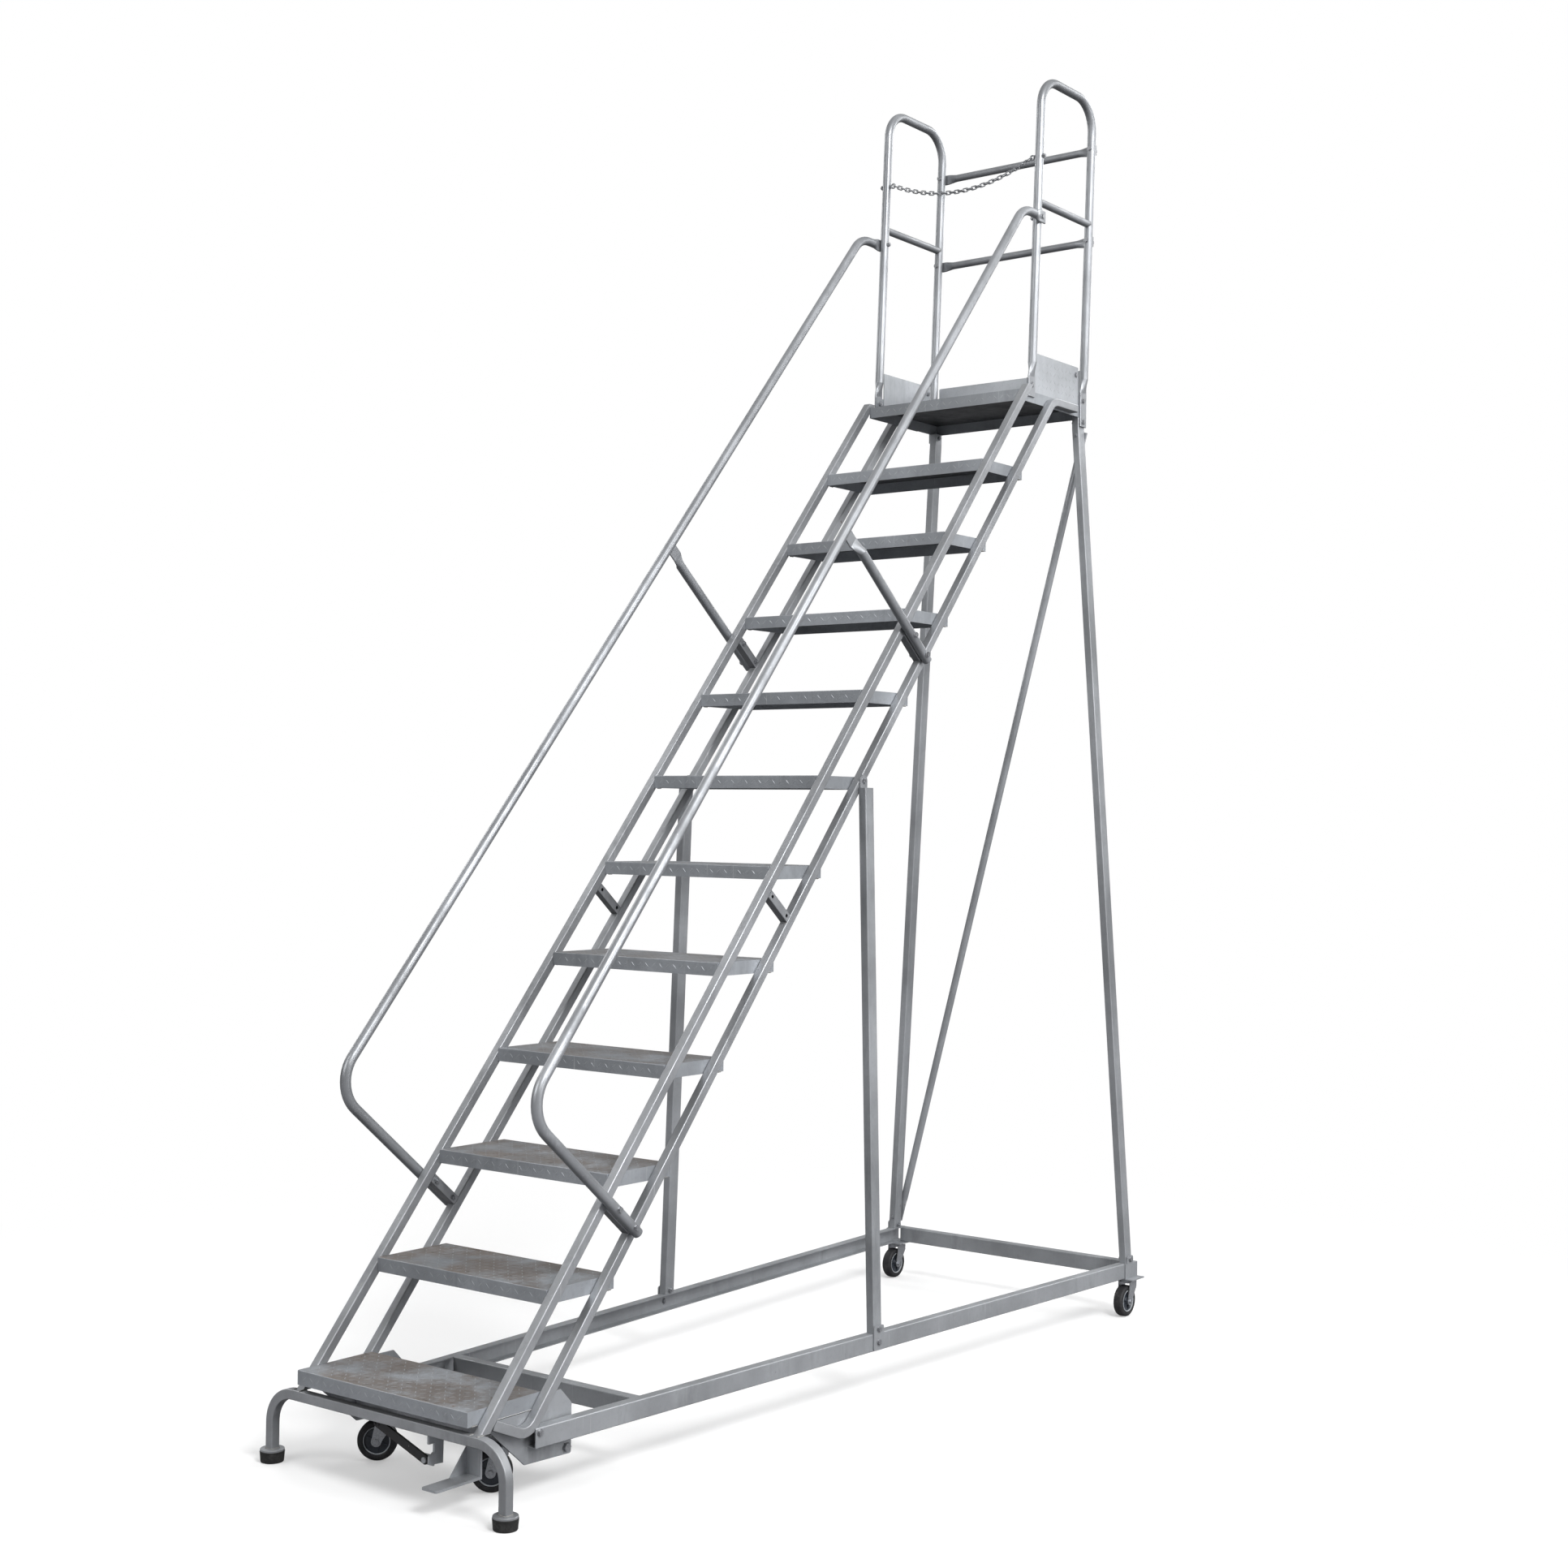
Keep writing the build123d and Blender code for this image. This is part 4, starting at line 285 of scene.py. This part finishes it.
def scratches(graph, turn, amount):
    """Thin bright lines along one direction."""
    lines = graph.noise(1.0, 3.0, 0.6, graph.scaled((150.0, 150.0, 5.0), turn))
    patches = graph.noise(5.5, 2.0, 0.5)
    return graph.math("MULTIPLY", graph.step(lines, 0.66 - amount, 0.74), graph.step(patches, 0.4, 0.62))


def shade(tone, share):
    """A tone made lighter or darker."""
    return tuple(value * share for value in tone)


def coated_steel(name, tone, spots, scuff, gloss, metal, brown=0.0, grime=0.5, under=0.8):
    """Silver grey coated steel with cloudy tone, scratches, grime, rust spots and scuffed walking faces, with
    painted shade darkening the faces that look down.
    """
    graph = Graph(name)
    clouds = graph.noise(2.6, 6.0, 0.62)
    grain = graph.noise(95.0, 4.0, 0.6)
    colour = graph.mix(graph.step(clouds, 0.32, 0.68), shade(tone, 0.80), shade(tone, 1.16))
    grains = graph.step(grain, 0.5, 0.72, 0.0, 0.06 + 0.5 * scuff)
    colour = graph.mix(grains, colour, shade(tone, 0.72))
    lines = scratches(graph, (-SLOPE_TURN, 0.0, 0.0), 0.03)
    cross = scratches(graph, (0.7, 1.1, 0.3), 0.01)
    worn = graph.math("MAXIMUM", lines, cross)
    colour = graph.mix(graph.math("MULTIPLY", worn, 0.5), colour, WORN_METAL)
    smears = graph.noise(1.0, 5.0, 0.65, graph.scaled((9.0, 9.0, 2.2)))
    colour = graph.mix(graph.step(smears, 0.53, 0.74, 0.0, grime), colour, shade(tone, 0.5))
    up = graph.axis(graph.normal(), "Z")
    if brown > 0.0:
        height = graph.axis(graph.place, "Z")
        low = graph.step(height, WALKED_LOW, WALKED_HIGH, brown, 0.12 * brown)
        walked = graph.math("MULTIPLY", graph.step(up, 0.75, 0.95), low)
        dirt = graph.noise(7.0, 7.0, 0.7)
        walked = graph.math("MULTIPLY", walked, graph.step(dirt, 0.36, 0.6))
        colour = graph.mix(walked, colour, WALKED_DIRT)
        flecks = graph.step(graph.noise(55.0, 5.0, 0.75), 0.58, 0.66)
        colour = graph.mix(graph.math("MULTIPLY", walked, flecks), colour, DIRT_FLECK)
    # Painted shade: faces that look down are blended towards a near-black copy of the tone, up to the share under.
    down = graph.math("MULTIPLY", up, -1.0)
    colour = graph.mix(graph.step(down, 0.35, 0.9, 0.0, under), colour, shade(tone, 0.07))
    speck = graph.noise(38.0, 5.0, 0.7)
    areas = graph.noise(1.9, 3.0, 0.5)
    specks = graph.step(speck, 0.70 - 0.05 * spots, 0.755)
    rust = graph.math("MULTIPLY", specks, graph.step(areas, 0.5, 0.66))
    rust = graph.math("MULTIPLY", rust, min(1.0, 0.5 + spots))
    rust_tone = graph.mix(graph.step(grain, 0.4, 0.6), RUST, RUST_DARK)
    colour = graph.mix(rust, colour, rust_tone)
    graph.put(graph.shader.inputs["Base Color"], colour)
    rough = graph.step(smears, 0.35, 0.75, gloss, gloss + 0.26)
    rough = graph.math("ADD", rough, graph.math("MULTIPLY", rust, 0.4))
    rough = graph.math("SUBTRACT", rough, graph.math("MULTIPLY", worn, 0.12))
    graph.put(graph.shader.inputs["Roughness"], rough)
    bare = graph.math("SUBTRACT", metal, graph.math("MULTIPLY", rust, metal))
    graph.put(graph.shader.inputs["Metallic"], bare)
    peel = graph.bump(grain, 0.00002 + 0.0002 * scuff)
    dents = graph.bump(graph.noise(11.0 + 20.0 * scuff, 3.0, 0.5), 0.0006 + 0.0006 * scuff, peel)
    graph.put(graph.shader.inputs["Normal"], dents)
    return graph.material


def zinc(name, tone, rust):
    """Zinc plated hardware with a fine crystalline mottle and brown stains."""
    graph = Graph(name)
    mottle = graph.noise(260.0, 4.0, 0.6)
    colour = graph.mix(graph.step(mottle, 0.35, 0.65), shade(tone, 0.72), tone)
    stain = graph.step(graph.noise(34.0, 5.0, 0.7), 0.56, 0.7, 0.0, rust)
    colour = graph.mix(stain, colour, RUST_DARK)
    graph.put(graph.shader.inputs["Base Color"], colour)
    graph.put(graph.shader.inputs["Roughness"], graph.step(mottle, 0.3, 0.7, 0.28, 0.5))
    graph.shader.inputs["Metallic"].default_value = 0.85
    graph.put(graph.shader.inputs["Normal"], graph.bump(mottle, 0.0001))
    return graph.material


def rubber(name, tone, dust):
    """Black rubber with grey dust and a fine moulded grain."""
    graph = Graph(name)
    grain = graph.noise(420.0, 3.0, 0.6)
    dusty = graph.step(graph.noise(30.0, 6.0, 0.7), 0.45, 0.75, 0.0, dust)
    graph.put(graph.shader.inputs["Base Color"], graph.mix(dusty, tone, RUBBER_DUST))
    graph.put(graph.shader.inputs["Roughness"], graph.step(grain, 0.3, 0.7, 0.5, 0.78))
    graph.put(graph.shader.inputs["Normal"], graph.bump(grain, 0.0002))
    return graph.material


def painted(name, tone, edge):
    """Smooth paint with chips to the bare metal and small scratches."""
    graph = Graph(name)
    chips = graph.step(graph.noise(70.0, 6.0, 0.72), 0.66, 0.69)
    film = graph.noise(14.0, 4.0, 0.5)
    colour = graph.mix(graph.step(film, 0.35, 0.65), tone, shade(tone, 1.5))
    graph.put(graph.shader.inputs["Base Color"], graph.mix(chips, colour, edge))
    graph.put(graph.shader.inputs["Roughness"], graph.step(film, 0.3, 0.7, 0.32, 0.5))
    graph.put(graph.shader.inputs["Metallic"], graph.math("MULTIPLY", chips, 0.7))
    graph.put(graph.shader.inputs["Normal"], graph.bump(film, 0.0003, graph.bump(chips, 0.0001)))
    return graph.material


# under is the share of painted shade on the faces that look down, for each coated steel look.
LOOKS = {
    "tread_steel": coated_steel(
        "tread_steel", (0.325, 0.343, 0.367),
        spots=0.6, scuff=0.5, brown=0.8, gloss=0.42, metal=0.5, grime=0.4, under=0.97,
    ),
    "deck_steel": coated_steel(
        "deck_steel", (0.31, 0.327, 0.348),
        spots=0.3, scuff=0.4, brown=0.5, gloss=0.42, metal=0.5, grime=0.4, under=0.97,
    ),
    "plate_steel": coated_steel(
        "plate_steel", (0.44, 0.459, 0.483), spots=0.3, scuff=0.4, gloss=0.36, metal=0.55, grime=0.3,
    ),
    "rail_tube": coated_steel(
        "rail_tube", (0.325, 0.337, 0.355),
        spots=0.2, scuff=0.05, gloss=0.34, metal=0.6, grime=0.35, under=0.6,
    ),
    "stringer_tube": coated_steel(
        "stringer_tube", (0.355, 0.366, 0.383), spots=0.7, scuff=0.3, gloss=0.38, metal=0.6,
    ),
    "base_steel": coated_steel(
        "base_steel", (0.372, 0.386, 0.405), spots=0.7, scuff=0.3, gloss=0.4, metal=0.6,
    ),
    "caster_steel": zinc("caster_steel", (0.5, 0.515, 0.54), rust=0.2),
    "zinc_hardware": zinc("zinc_hardware", (0.42, 0.43, 0.45), rust=0.45),
    "wheel_tyre": rubber("wheel_tyre", (0.012, 0.012, 0.014), dust=0.25),
    "foot_rubber": rubber("foot_rubber", (0.013, 0.013, 0.013), dust=0.3),
    "latch_black": painted("latch_black", (0.012, 0.012, 0.013), (0.2, 0.2, 0.2)),
}
HUB_LOOK = painted("hub_plastic", (0.03, 0.036, 0.046), (0.07, 0.075, 0.08))
RING_LOOK = painted("hub_ring", (0.33, 0.35, 0.37), (0.2, 0.2, 0.2))
CREST_LOOK = coated_steel(
    "lentil_crest", (0.385, 0.402, 0.425), spots=0.3, scuff=0.2, brown=0.25, gloss=0.34, metal=0.6, grime=0.3,
)
WELD_LOOK = coated_steel(
    "weld_bead", (0.27, 0.27, 0.265), spots=1.0, scuff=0.8, gloss=0.45, metal=0.5, grime=0.7,
)


def dress_frame():
    """Give each CAD node the look of its material slot."""
    slots = {part["node"]: part["material_slot"] for part in frame["record"]["subparts"]}
    for node, piece in NODES.items():
        piece.data.materials.clear()
        piece.data.materials.append(LOOKS[slots[node]])


# ---- mesh helpers --------------------------------------------------------------------------
def finish_piece(name, work, look, body, smooth=False):
    """Turn mesh work into a piece that rides on a body."""
    mesh = bpy.data.meshes.new(name)
    bmesh.ops.recalc_face_normals(work, faces=work.faces)
    work.to_mesh(mesh)
    work.free()
    for face in mesh.polygons:
        face.use_smooth = smooth
    piece = bpy.data.objects.new(name, mesh)
    bpy.context.scene.collection.objects.link(piece)
    mesh.materials.append(look)
    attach(piece, body)
    return piece


def turn_profile(work, centre, axis, profile, segments=72):
    """Revolve a closed profile of (radius, offset) points about an axis."""
    axis = Vector(axis).normalized()
    first = axis.orthogonal().normalized()
    second = axis.cross(first)
    rings = []
    for index in range(segments):
        angle = 2.0 * math.pi * index / segments
        out = math.cos(angle) * first + math.sin(angle) * second
        places = [Vector(centre) + out * radius + axis * offset for radius, offset in profile]
        rings.append([work.verts.new(place) for place in places])
    for index in range(segments):
        here, there = rings[index], rings[(index + 1) % segments]
        for row in range(len(profile)):
            following = (row + 1) % len(profile)
            work.faces.new((here[row], there[row], there[following], here[following]))


def rounded(radius, offset, corner, quarter, steps=5):
    """Points of a rounded profile corner: its centre, radius and quarter turn."""
    start = quarter * math.pi / 2.0
    angles = [start + math.pi / 2.0 * step / steps for step in range(steps + 1)]
    return [(radius + corner * math.cos(angle), offset + corner * math.sin(angle)) for angle in angles]


# ---- wheels and feet -----------------------------------------------------------------------
# Half profiles are (radius, distance from the wheel's middle plane).
TYRE_HALF, TYRE_RADIUS, TYRE_CROWN = 0.016, 0.050, 0.008
RIM_RADIUS = 0.0345
WALL_ROUND = 0.003
RING_RADIUS, RING_MIDDLE = 0.0332, 0.0125
RING_HEIGHT, RING_WIDTH = 0.0018, 0.0026
RING_SIDES = 12
HUB_PROFILE = [
    (0.0345, 0.011), (0.0315, 0.012), (0.030, 0.010), (0.0145, 0.010),
    (0.0135, 0.0115), (0.0125, 0.0165), (0.0115, 0.0175), (0.0042, 0.0175),
]
RIB_COUNT = 6
RIB_HALF_SHEET = 0.0014
RIB_ROOT = 0.0095
RIB_ENDS = ((0.0130, 0.0150), (0.0300, 0.0117))
RIB_EDGE = 0.0004
BOX_FACES = ((0, 1, 3, 2), (4, 6, 7, 5), (0, 4, 5, 1), (2, 3, 7, 6), (1, 5, 7, 3), (0, 2, 6, 4))


def both_sides(half):
    """Closed profile from a half profile and its mirror image."""
    return half + [(radius, -offset) for radius, offset in reversed(half)]


def make_wheel(place):
    """Tyre, light ring and hub of one caster wheel, in place of its plain CAD node."""
    joint = JOINTS[f"roll_{place}"]
    centre, axis = joint["pos_m"], joint["axis"]
    body = joint["child"]
    work = bmesh.new()
    tread = rounded(TYRE_RADIUS - TYRE_CROWN, TYRE_HALF - TYRE_CROWN, TYRE_CROWN, 0)
    wall = rounded(RIM_RADIUS + WALL_ROUND, TYRE_HALF - WALL_ROUND, WALL_ROUND, 1)
    turn_profile(work, centre, axis, both_sides(tread + wall))
    tyre = finish_piece(f"tyre_{place}", work, LOOKS["wheel_tyre"], body, True)
    work = bmesh.new()
    turns = [2.0 * math.pi * step / RING_SIDES for step in range(RING_SIDES)]
    for side_sign in (-1.0, 1.0):
        middle = side_sign * RING_MIDDLE
        section = [(RING_RADIUS + RING_HEIGHT * math.cos(turn), middle + RING_WIDTH * math.sin(turn))
                   for turn in turns]
        turn_profile(work, centre, axis, section)
    finish_piece(f"hub_ring_{place}", work, RING_LOOK, body, True)
    work = bmesh.new()
    turn_profile(work, centre, axis, both_sides(HUB_PROFILE))
    finish_piece(f"hub_{place}", work, HUB_LOOK, body)
    work = bmesh.new()
    spin = Vector(axis).normalized()
    first = spin.orthogonal().normalized()
    second = spin.cross(first)
    for index in range(RIB_COUNT):
        angle = 2.0 * math.pi * index / RIB_COUNT
        out = math.cos(angle) * first + math.sin(angle) * second
        across = spin.cross(out)
        for side_sign in (-1.0, 1.0):
            corners = []
            for radius, height in RIB_ENDS:
                for offset in (-RIB_HALF_SHEET, RIB_HALF_SHEET):
                    base = Vector(centre) + out * radius + across * offset
                    corners.append(work.verts.new(base + spin * side_sign * RIB_ROOT))
                    corners.append(work.verts.new(base + spin * side_sign * height))
            for quad in BOX_FACES:
                work.faces.new([corners[corner] for corner in quad])
    bmesh.ops.bevel(work, geom=work.edges[:], offset=RIB_EDGE, segments=2, affect="EDGES")
    finish_piece(f"hub_ribs_{place}", work, HUB_LOOK, body)
    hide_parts(f"caster_wheel_{place}")


FOOT_SEGMENTS = 64


def make_foot(side):
    """Moulded rubber foot with a worn lower edge and a shallow groove."""
    low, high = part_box(f"rubber_foot_{side}")
    centre = ((low.x + high.x) / 2, (low.y + high.y) / 2, 0.0)
    radius = (high.x - low.x) / 2
    top = high.z
    work = bmesh.new()
    outline = [(0.0005, 0.0), (radius - 0.005, 0.0), (radius - 0.0032, 0.0006), (radius - 0.0022, 0.0025),
               (radius - 0.0012, top * 0.5), (radius - 0.0004, top - 0.0050), (radius - 0.0014, top - 0.0044),
               (radius - 0.0014, top - 0.0036), (radius, top - 0.0030), (radius - 0.0002, top - 0.0010),
               (radius - 0.0014, top), (0.0005, top)]
    turn_profile(work, centre, (0, 0, 1), outline, FOOT_SEGMENTS)
    foot = finish_piece(f"foot_pad_{side}", work, LOOKS["foot_rubber"], "frame")
    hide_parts(f"rubber_foot_{side}")


# ---- raised pattern of the treads and plates ---------------------------------------------------
LENTIL_LENGTH, LENTIL_WIDTH, LENTIL_HEIGHT = 0.019, 0.0046, 0.0005
LENTIL_PITCH = 0.0245
LENTIL_SIDES = 10
LENTIL_POINT = 0.35         # how much the oval narrows towards its ends
LENTIL_CREST = 0.22         # half length of the crest, as a share of the length
LENTIL_SINK = 0.0001        # rim below the sheet
EAR_RISE = 0.040            # ears of the platform above its top


def lentil(work, centre, along, out):
    """One raised lentil: a pointed oval that rises to a short crest."""
    across = out.cross(along)
    rim = []
    for index in range(LENTIL_SIDES):
        angle = 2.0 * math.pi * index / LENTIL_SIDES
        reach = LENTIL_LENGTH / 2 * math.cos(angle)
        spread = LENTIL_WIDTH / 2 * math.sin(angle) * (1.0 - LENTIL_POINT * abs(math.cos(angle)))
        rim.append(work.verts.new(centre + along * reach + across * spread - out * LENTIL_SINK))
    crest = []
    for share in (-LENTIL_CREST, LENTIL_CREST):
        crest.append(work.verts.new(centre + along * share * LENTIL_LENGTH + out * LENTIL_HEIGHT))
    for index in range(LENTIL_SIDES):
        here, there = rim[index], rim[(index + 1) % LENTIL_SIDES]
        near = crest[1] if math.cos(2.0 * math.pi * (index + 0.5) / LENTIL_SIDES) > 0 else crest[0]
        work.faces.new((here, there, near))
    work.faces.new((rim[3], crest[0], crest[1]))
    work.faces.new((rim[8], crest[1], crest[0]))
    work.faces.new(list(reversed(rim)))


def lentil_field(work, corner, right, up, width, height, out):
    """Rows of lentils that lean left and right by turns."""
    columns = int((width - LENTIL_PITCH * 0.6) / LENTIL_PITCH)
    rows = max(1, int((height - LENTIL_PITCH * 0.3) / LENTIL_PITCH))
    start_x = (width - (columns - 1) * LENTIL_PITCH) / 2
    start_y = (height - (rows - 1) * LENTIL_PITCH) / 2
    for row in range(rows):
        for column in range(columns):
            lean = math.pi / 4 if (row + column) % 2 == 0 else -math.pi / 4
            along = (math.cos(lean) * right + math.sin(lean) * up).normalized()
            centre = corner + right * (start_x + column * LENTIL_PITCH) + up * (start_y + row * LENTIL_PITCH)
            lentil(work, centre, along, out)


def tread_patterns():
    """Raised pattern on the top and front lip of each step, and on the kick plates."""
    x_axis, y_axis, z_axis = Vector((1, 0, 0)), Vector((0, 1, 0)), Vector((0, 0, 1))
    steps = sorted(name for name in NODES if name.startswith("step_"))
    for name in steps + ["platform_deck"]:
        low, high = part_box(name)
        top = high.z if name != "platform_deck" else high.z - EAR_RISE
        width, depth = high.x - low.x, high.y - low.y
        work = bmesh.new()
        lentil_field(work, low, x_axis, z_axis, width, top - low.z, -y_axis)
        lentil_field(work, Vector((low.x, low.y, top)), x_axis, y_axis, width, depth, z_axis)
        finish_piece(f"pattern_{name}", work, CREST_LOOK, "frame")
    for side, sign in (("left", -1.0), ("right", 1.0)):
        low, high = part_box(f"kick_plate_{side}")
        work = bmesh.new()
        face_x = high.x if sign > 0 else low.x
        corner = Vector((face_x, low.y, low.z))
        lentil_field(work, corner, y_axis, z_axis, high.y - low.y, high.z - low.z, x_axis * sign)
        finish_piece(f"pattern_kick_plate_{side}", work, CREST_LOOK, "frame")


# ---- weld beads ----------------------------------------------------------------------------
BEAD_RADIUS = 0.0028
FINE_BEAD_RADIUS = 0.0022
STAY_BEAD_RADIUS = 0.0024
BEAD_STEP = 0.0032
BEAD_SIDES = 8
STEP_BEAD_LENGTH = 0.020
STEP_BEAD_FRONT, STEP_BEAD_REAR = 0.012, 0.030      # starts behind the front edge and ahead of the rear edge
TUBE_HALF = 0.0125
RING_BEAD_PARTS = 12
STAY_TOP_DEPTH = 0.004


def bead(work, start, end, radius=BEAD_RADIUS):
    """Uneven weld bead between two points."""
    start, end = Vector(start), Vector(end)
    along = end - start
    count = max(3, int(along.length / BEAD_STEP))
    axis = along.normalized()
    first = axis.orthogonal().normalized()
    second = axis.cross(first)
    rings = []
    for index in range(count + 1):
        share = index / count
        taper = 0.55 if index in (0, count) else 1.0
        size = radius * taper * (0.86 + 0.2 * (index % 2) + random.uniform(-0.08, 0.08))
        wander = (first * random.uniform(-1, 1) + second * random.uniform(-1, 1)) * radius * 0.12
        middle = start + along * share + wander
        ring = []
        for side in range(BEAD_SIDES):
            angle = 2.0 * math.pi * side / BEAD_SIDES
            ring.append(work.verts.new(middle + (first * math.cos(angle) + second * math.sin(angle)) * size))
        rings.append(ring)
    for here, there in zip(rings, rings[1:]):
        for side in range(BEAD_SIDES):
            following = (side + 1) % BEAD_SIDES
            work.faces.new((here[side], here[following], there[following], there[side]))
    work.faces.new(list(reversed(rings[0])))
    work.faces.new(rings[-1])


def step_welds():
    """Short beads where the step sides meet the stringers."""
    work = bmesh.new()
    for name in sorted(name for name in NODES if name.startswith("step_")):
        low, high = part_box(name)
        for x in (low.x, high.x):
            for y in (low.y + STEP_BEAD_FRONT, high.y - STEP_BEAD_REAR):
                bead(work, (x, y, low.z), (x, y + STEP_BEAD_LENGTH, low.z), FINE_BEAD_RADIUS)
    finish_piece("step_welds", work, WELD_LOOK, "frame", True)


def foot_welds():
    """Beads where the foot bar meets its foot plates and the front stringers."""
    work = bmesh.new()
    plates_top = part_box("foot_plates")[1].z
    bar_low, bar_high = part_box("foot_bar")
    half = TUBE_HALF
    bar_y = (bar_low.y + bar_high.y) / 2
    for sign in (-1.0, 1.0):
        leg_x = sign * (bar_high.x - half)
        square = [(leg_x - half, bar_y - half), (leg_x + half, bar_y - half), (leg_x + half, bar_y + half),
                  (leg_x - half, bar_y + half)]
        for here, there in zip(square, square[1:] + square[:1]):
            bead(work, (*here, plates_top), (*there, plates_top))
        side = "left" if sign < 0 else "right"
        low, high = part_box(f"front_stringer_{side}")
        for x in (low.x, high.x):
            bead(work, (x, bar_low.y + 0.002, bar_high.z), (x, bar_high.y + 0.001, bar_high.z))
    finish_piece("foot_welds", work, WELD_LOOK, "frame", True)


def ring_bead(work, centre, axis, radius):
    """Weld bead around a tube end."""
    axis = Vector(axis).normalized()
    first = axis.orthogonal().normalized()
    second = axis.cross(first)
    spots = [Vector(centre) + (first * math.cos(angle) + second * math.sin(angle)) * radius
             for angle in (2.0 * math.pi * step / RING_BEAD_PARTS for step in range(RING_BEAD_PARTS + 1))]
    for here, there in zip(spots, spots[1:]):
        bead(work, here, there, FINE_BEAD_RADIUS)


SAME_POINT = 0.00001


def islands(node):
    """Corner points of each separate solid of a CAD node."""
    work = bmesh.new()
    work.from_mesh(NODES[node].data)
    bmesh.ops.remove_doubles(work, verts=work.verts[:], dist=SAME_POINT)
    waiting = set(work.verts)
    groups = []
    while waiting:
        stack = [waiting.pop()]
        group = []
        while stack:
            vert = stack.pop()
            group.append(vert.co.copy())
            for edge in vert.link_edges:
                other = edge.other_vert(vert)
                if other in waiting:
                    waiting.remove(other)
                    stack.append(other)
        groups.append(group)
    work.free()
    return groups


def extent(group):
    """Lowest and highest corner of a group of points."""
    low = Vector([min(point[index] for point in group) for index in range(3)])
    high = Vector([max(point[index] for point in group) for index in range(3)])
    return low, high


def rail_welds():
    """Beads where the mid rails meet the guard posts and where the stays meet the handrails."""
    work = bmesh.new()
    for group in islands("guard_mid_rails"):
        low, high = extent(group)
        size = high - low
        along = max(range(3), key=lambda index: size[index])
        radius = min(size) / 2
        for end in (low, high):
            centre = (low + high) / 2
            centre[along] = end[along]
            axis = Vector((0.0, 0.0, 0.0))
            axis[along] = 1.0
            ring_bead(work, centre, axis, radius)
    for group in islands("handrail_stays"):
        top = max(point.z for point in group)
        low, high = extent([point for point in group if point.z > top - STAY_TOP_DEPTH])
        for x in (low.x, high.x):
            bead(work, (x, low.y, high.z), (x, high.y, high.z), STAY_BEAD_RADIUS)
    finish_piece("rail_welds", work, WELD_LOOK, "frame", True)


# ---- washers -------------------------------------------------------------------------------
WASHER_RADIUS = 0.0092
WASHER_HOLE = 0.0045
WASHER_SHEET = 0.0013
WASHER_EDGE = 0.0004
WASHER_CORNER = 0.0003
WASHER_SEGMENTS = 32
HEAD_RADIUS = 0.0070        # bolt ends narrower than this carry no head
HEAD_LENGTH = 0.0053
END_DEPTH = 0.0005
AXIS_ROUNDS = 30


def bolt_axis(group):
    """Long direction of a bolt, from the spread of its points."""
    centre = sum(group, Vector()) / len(group)
    direction = max(group, key=lambda point: (point - centre).length) - centre
    for _ in range(AXIS_ROUNDS):
        total = Vector()
        for point in group:
            offset = point - centre
            total += offset * offset.dot(direction)
        direction = total.normalized()
    return centre, direction


def bolt_washers():
    """Thin washer under the head of each bolt of the frame."""
    work = bmesh.new()
    for group in islands("frame_bolts"):
        centre, direction = bolt_axis(group)
        reaches = [(point - centre).dot(direction) for point in group]
        ends = []
        for sign in (-1.0, 1.0):
            end = max(reach * sign for reach in reaches)
            disc = [point - centre for point, reach in zip(group, reaches) if reach * sign > end - END_DEPTH]
            width = max((offset - direction * offset.dot(direction)).length for offset in disc)
            ends.append((width, sign, end))
        width, sign, end = max(ends)
        if width < HEAD_RADIUS:
            continue
        seat = centre + direction * sign * (end - HEAD_LENGTH)
        top = WASHER_SHEET - WASHER_EDGE
        flat = WASHER_RADIUS - WASHER_EDGE
        ring = [(WASHER_HOLE, -WASHER_EDGE), (flat, -WASHER_EDGE), (WASHER_RADIUS, 0.0),
                (WASHER_RADIUS, top - WASHER_CORNER), (flat, top), (WASHER_HOLE, top)]
        turn_profile(work, seat, direction * sign, ring, WASHER_SEGMENTS)
    finish_piece("bolt_washers", work, LOOKS["zinc_hardware"], "frame")


# ---- assembly ------------------------------------------------------------------------------
make_camera()
make_studio()
make_floor()
dress_frame()
for caster_place in ("front_left", "front_right", "rear_left", "rear_right"):
    make_wheel(caster_place)
for foot_side in ("left", "right"):
    make_foot(foot_side)
tread_patterns()
step_welds()
foot_welds()
rail_welds()
bolt_washers()
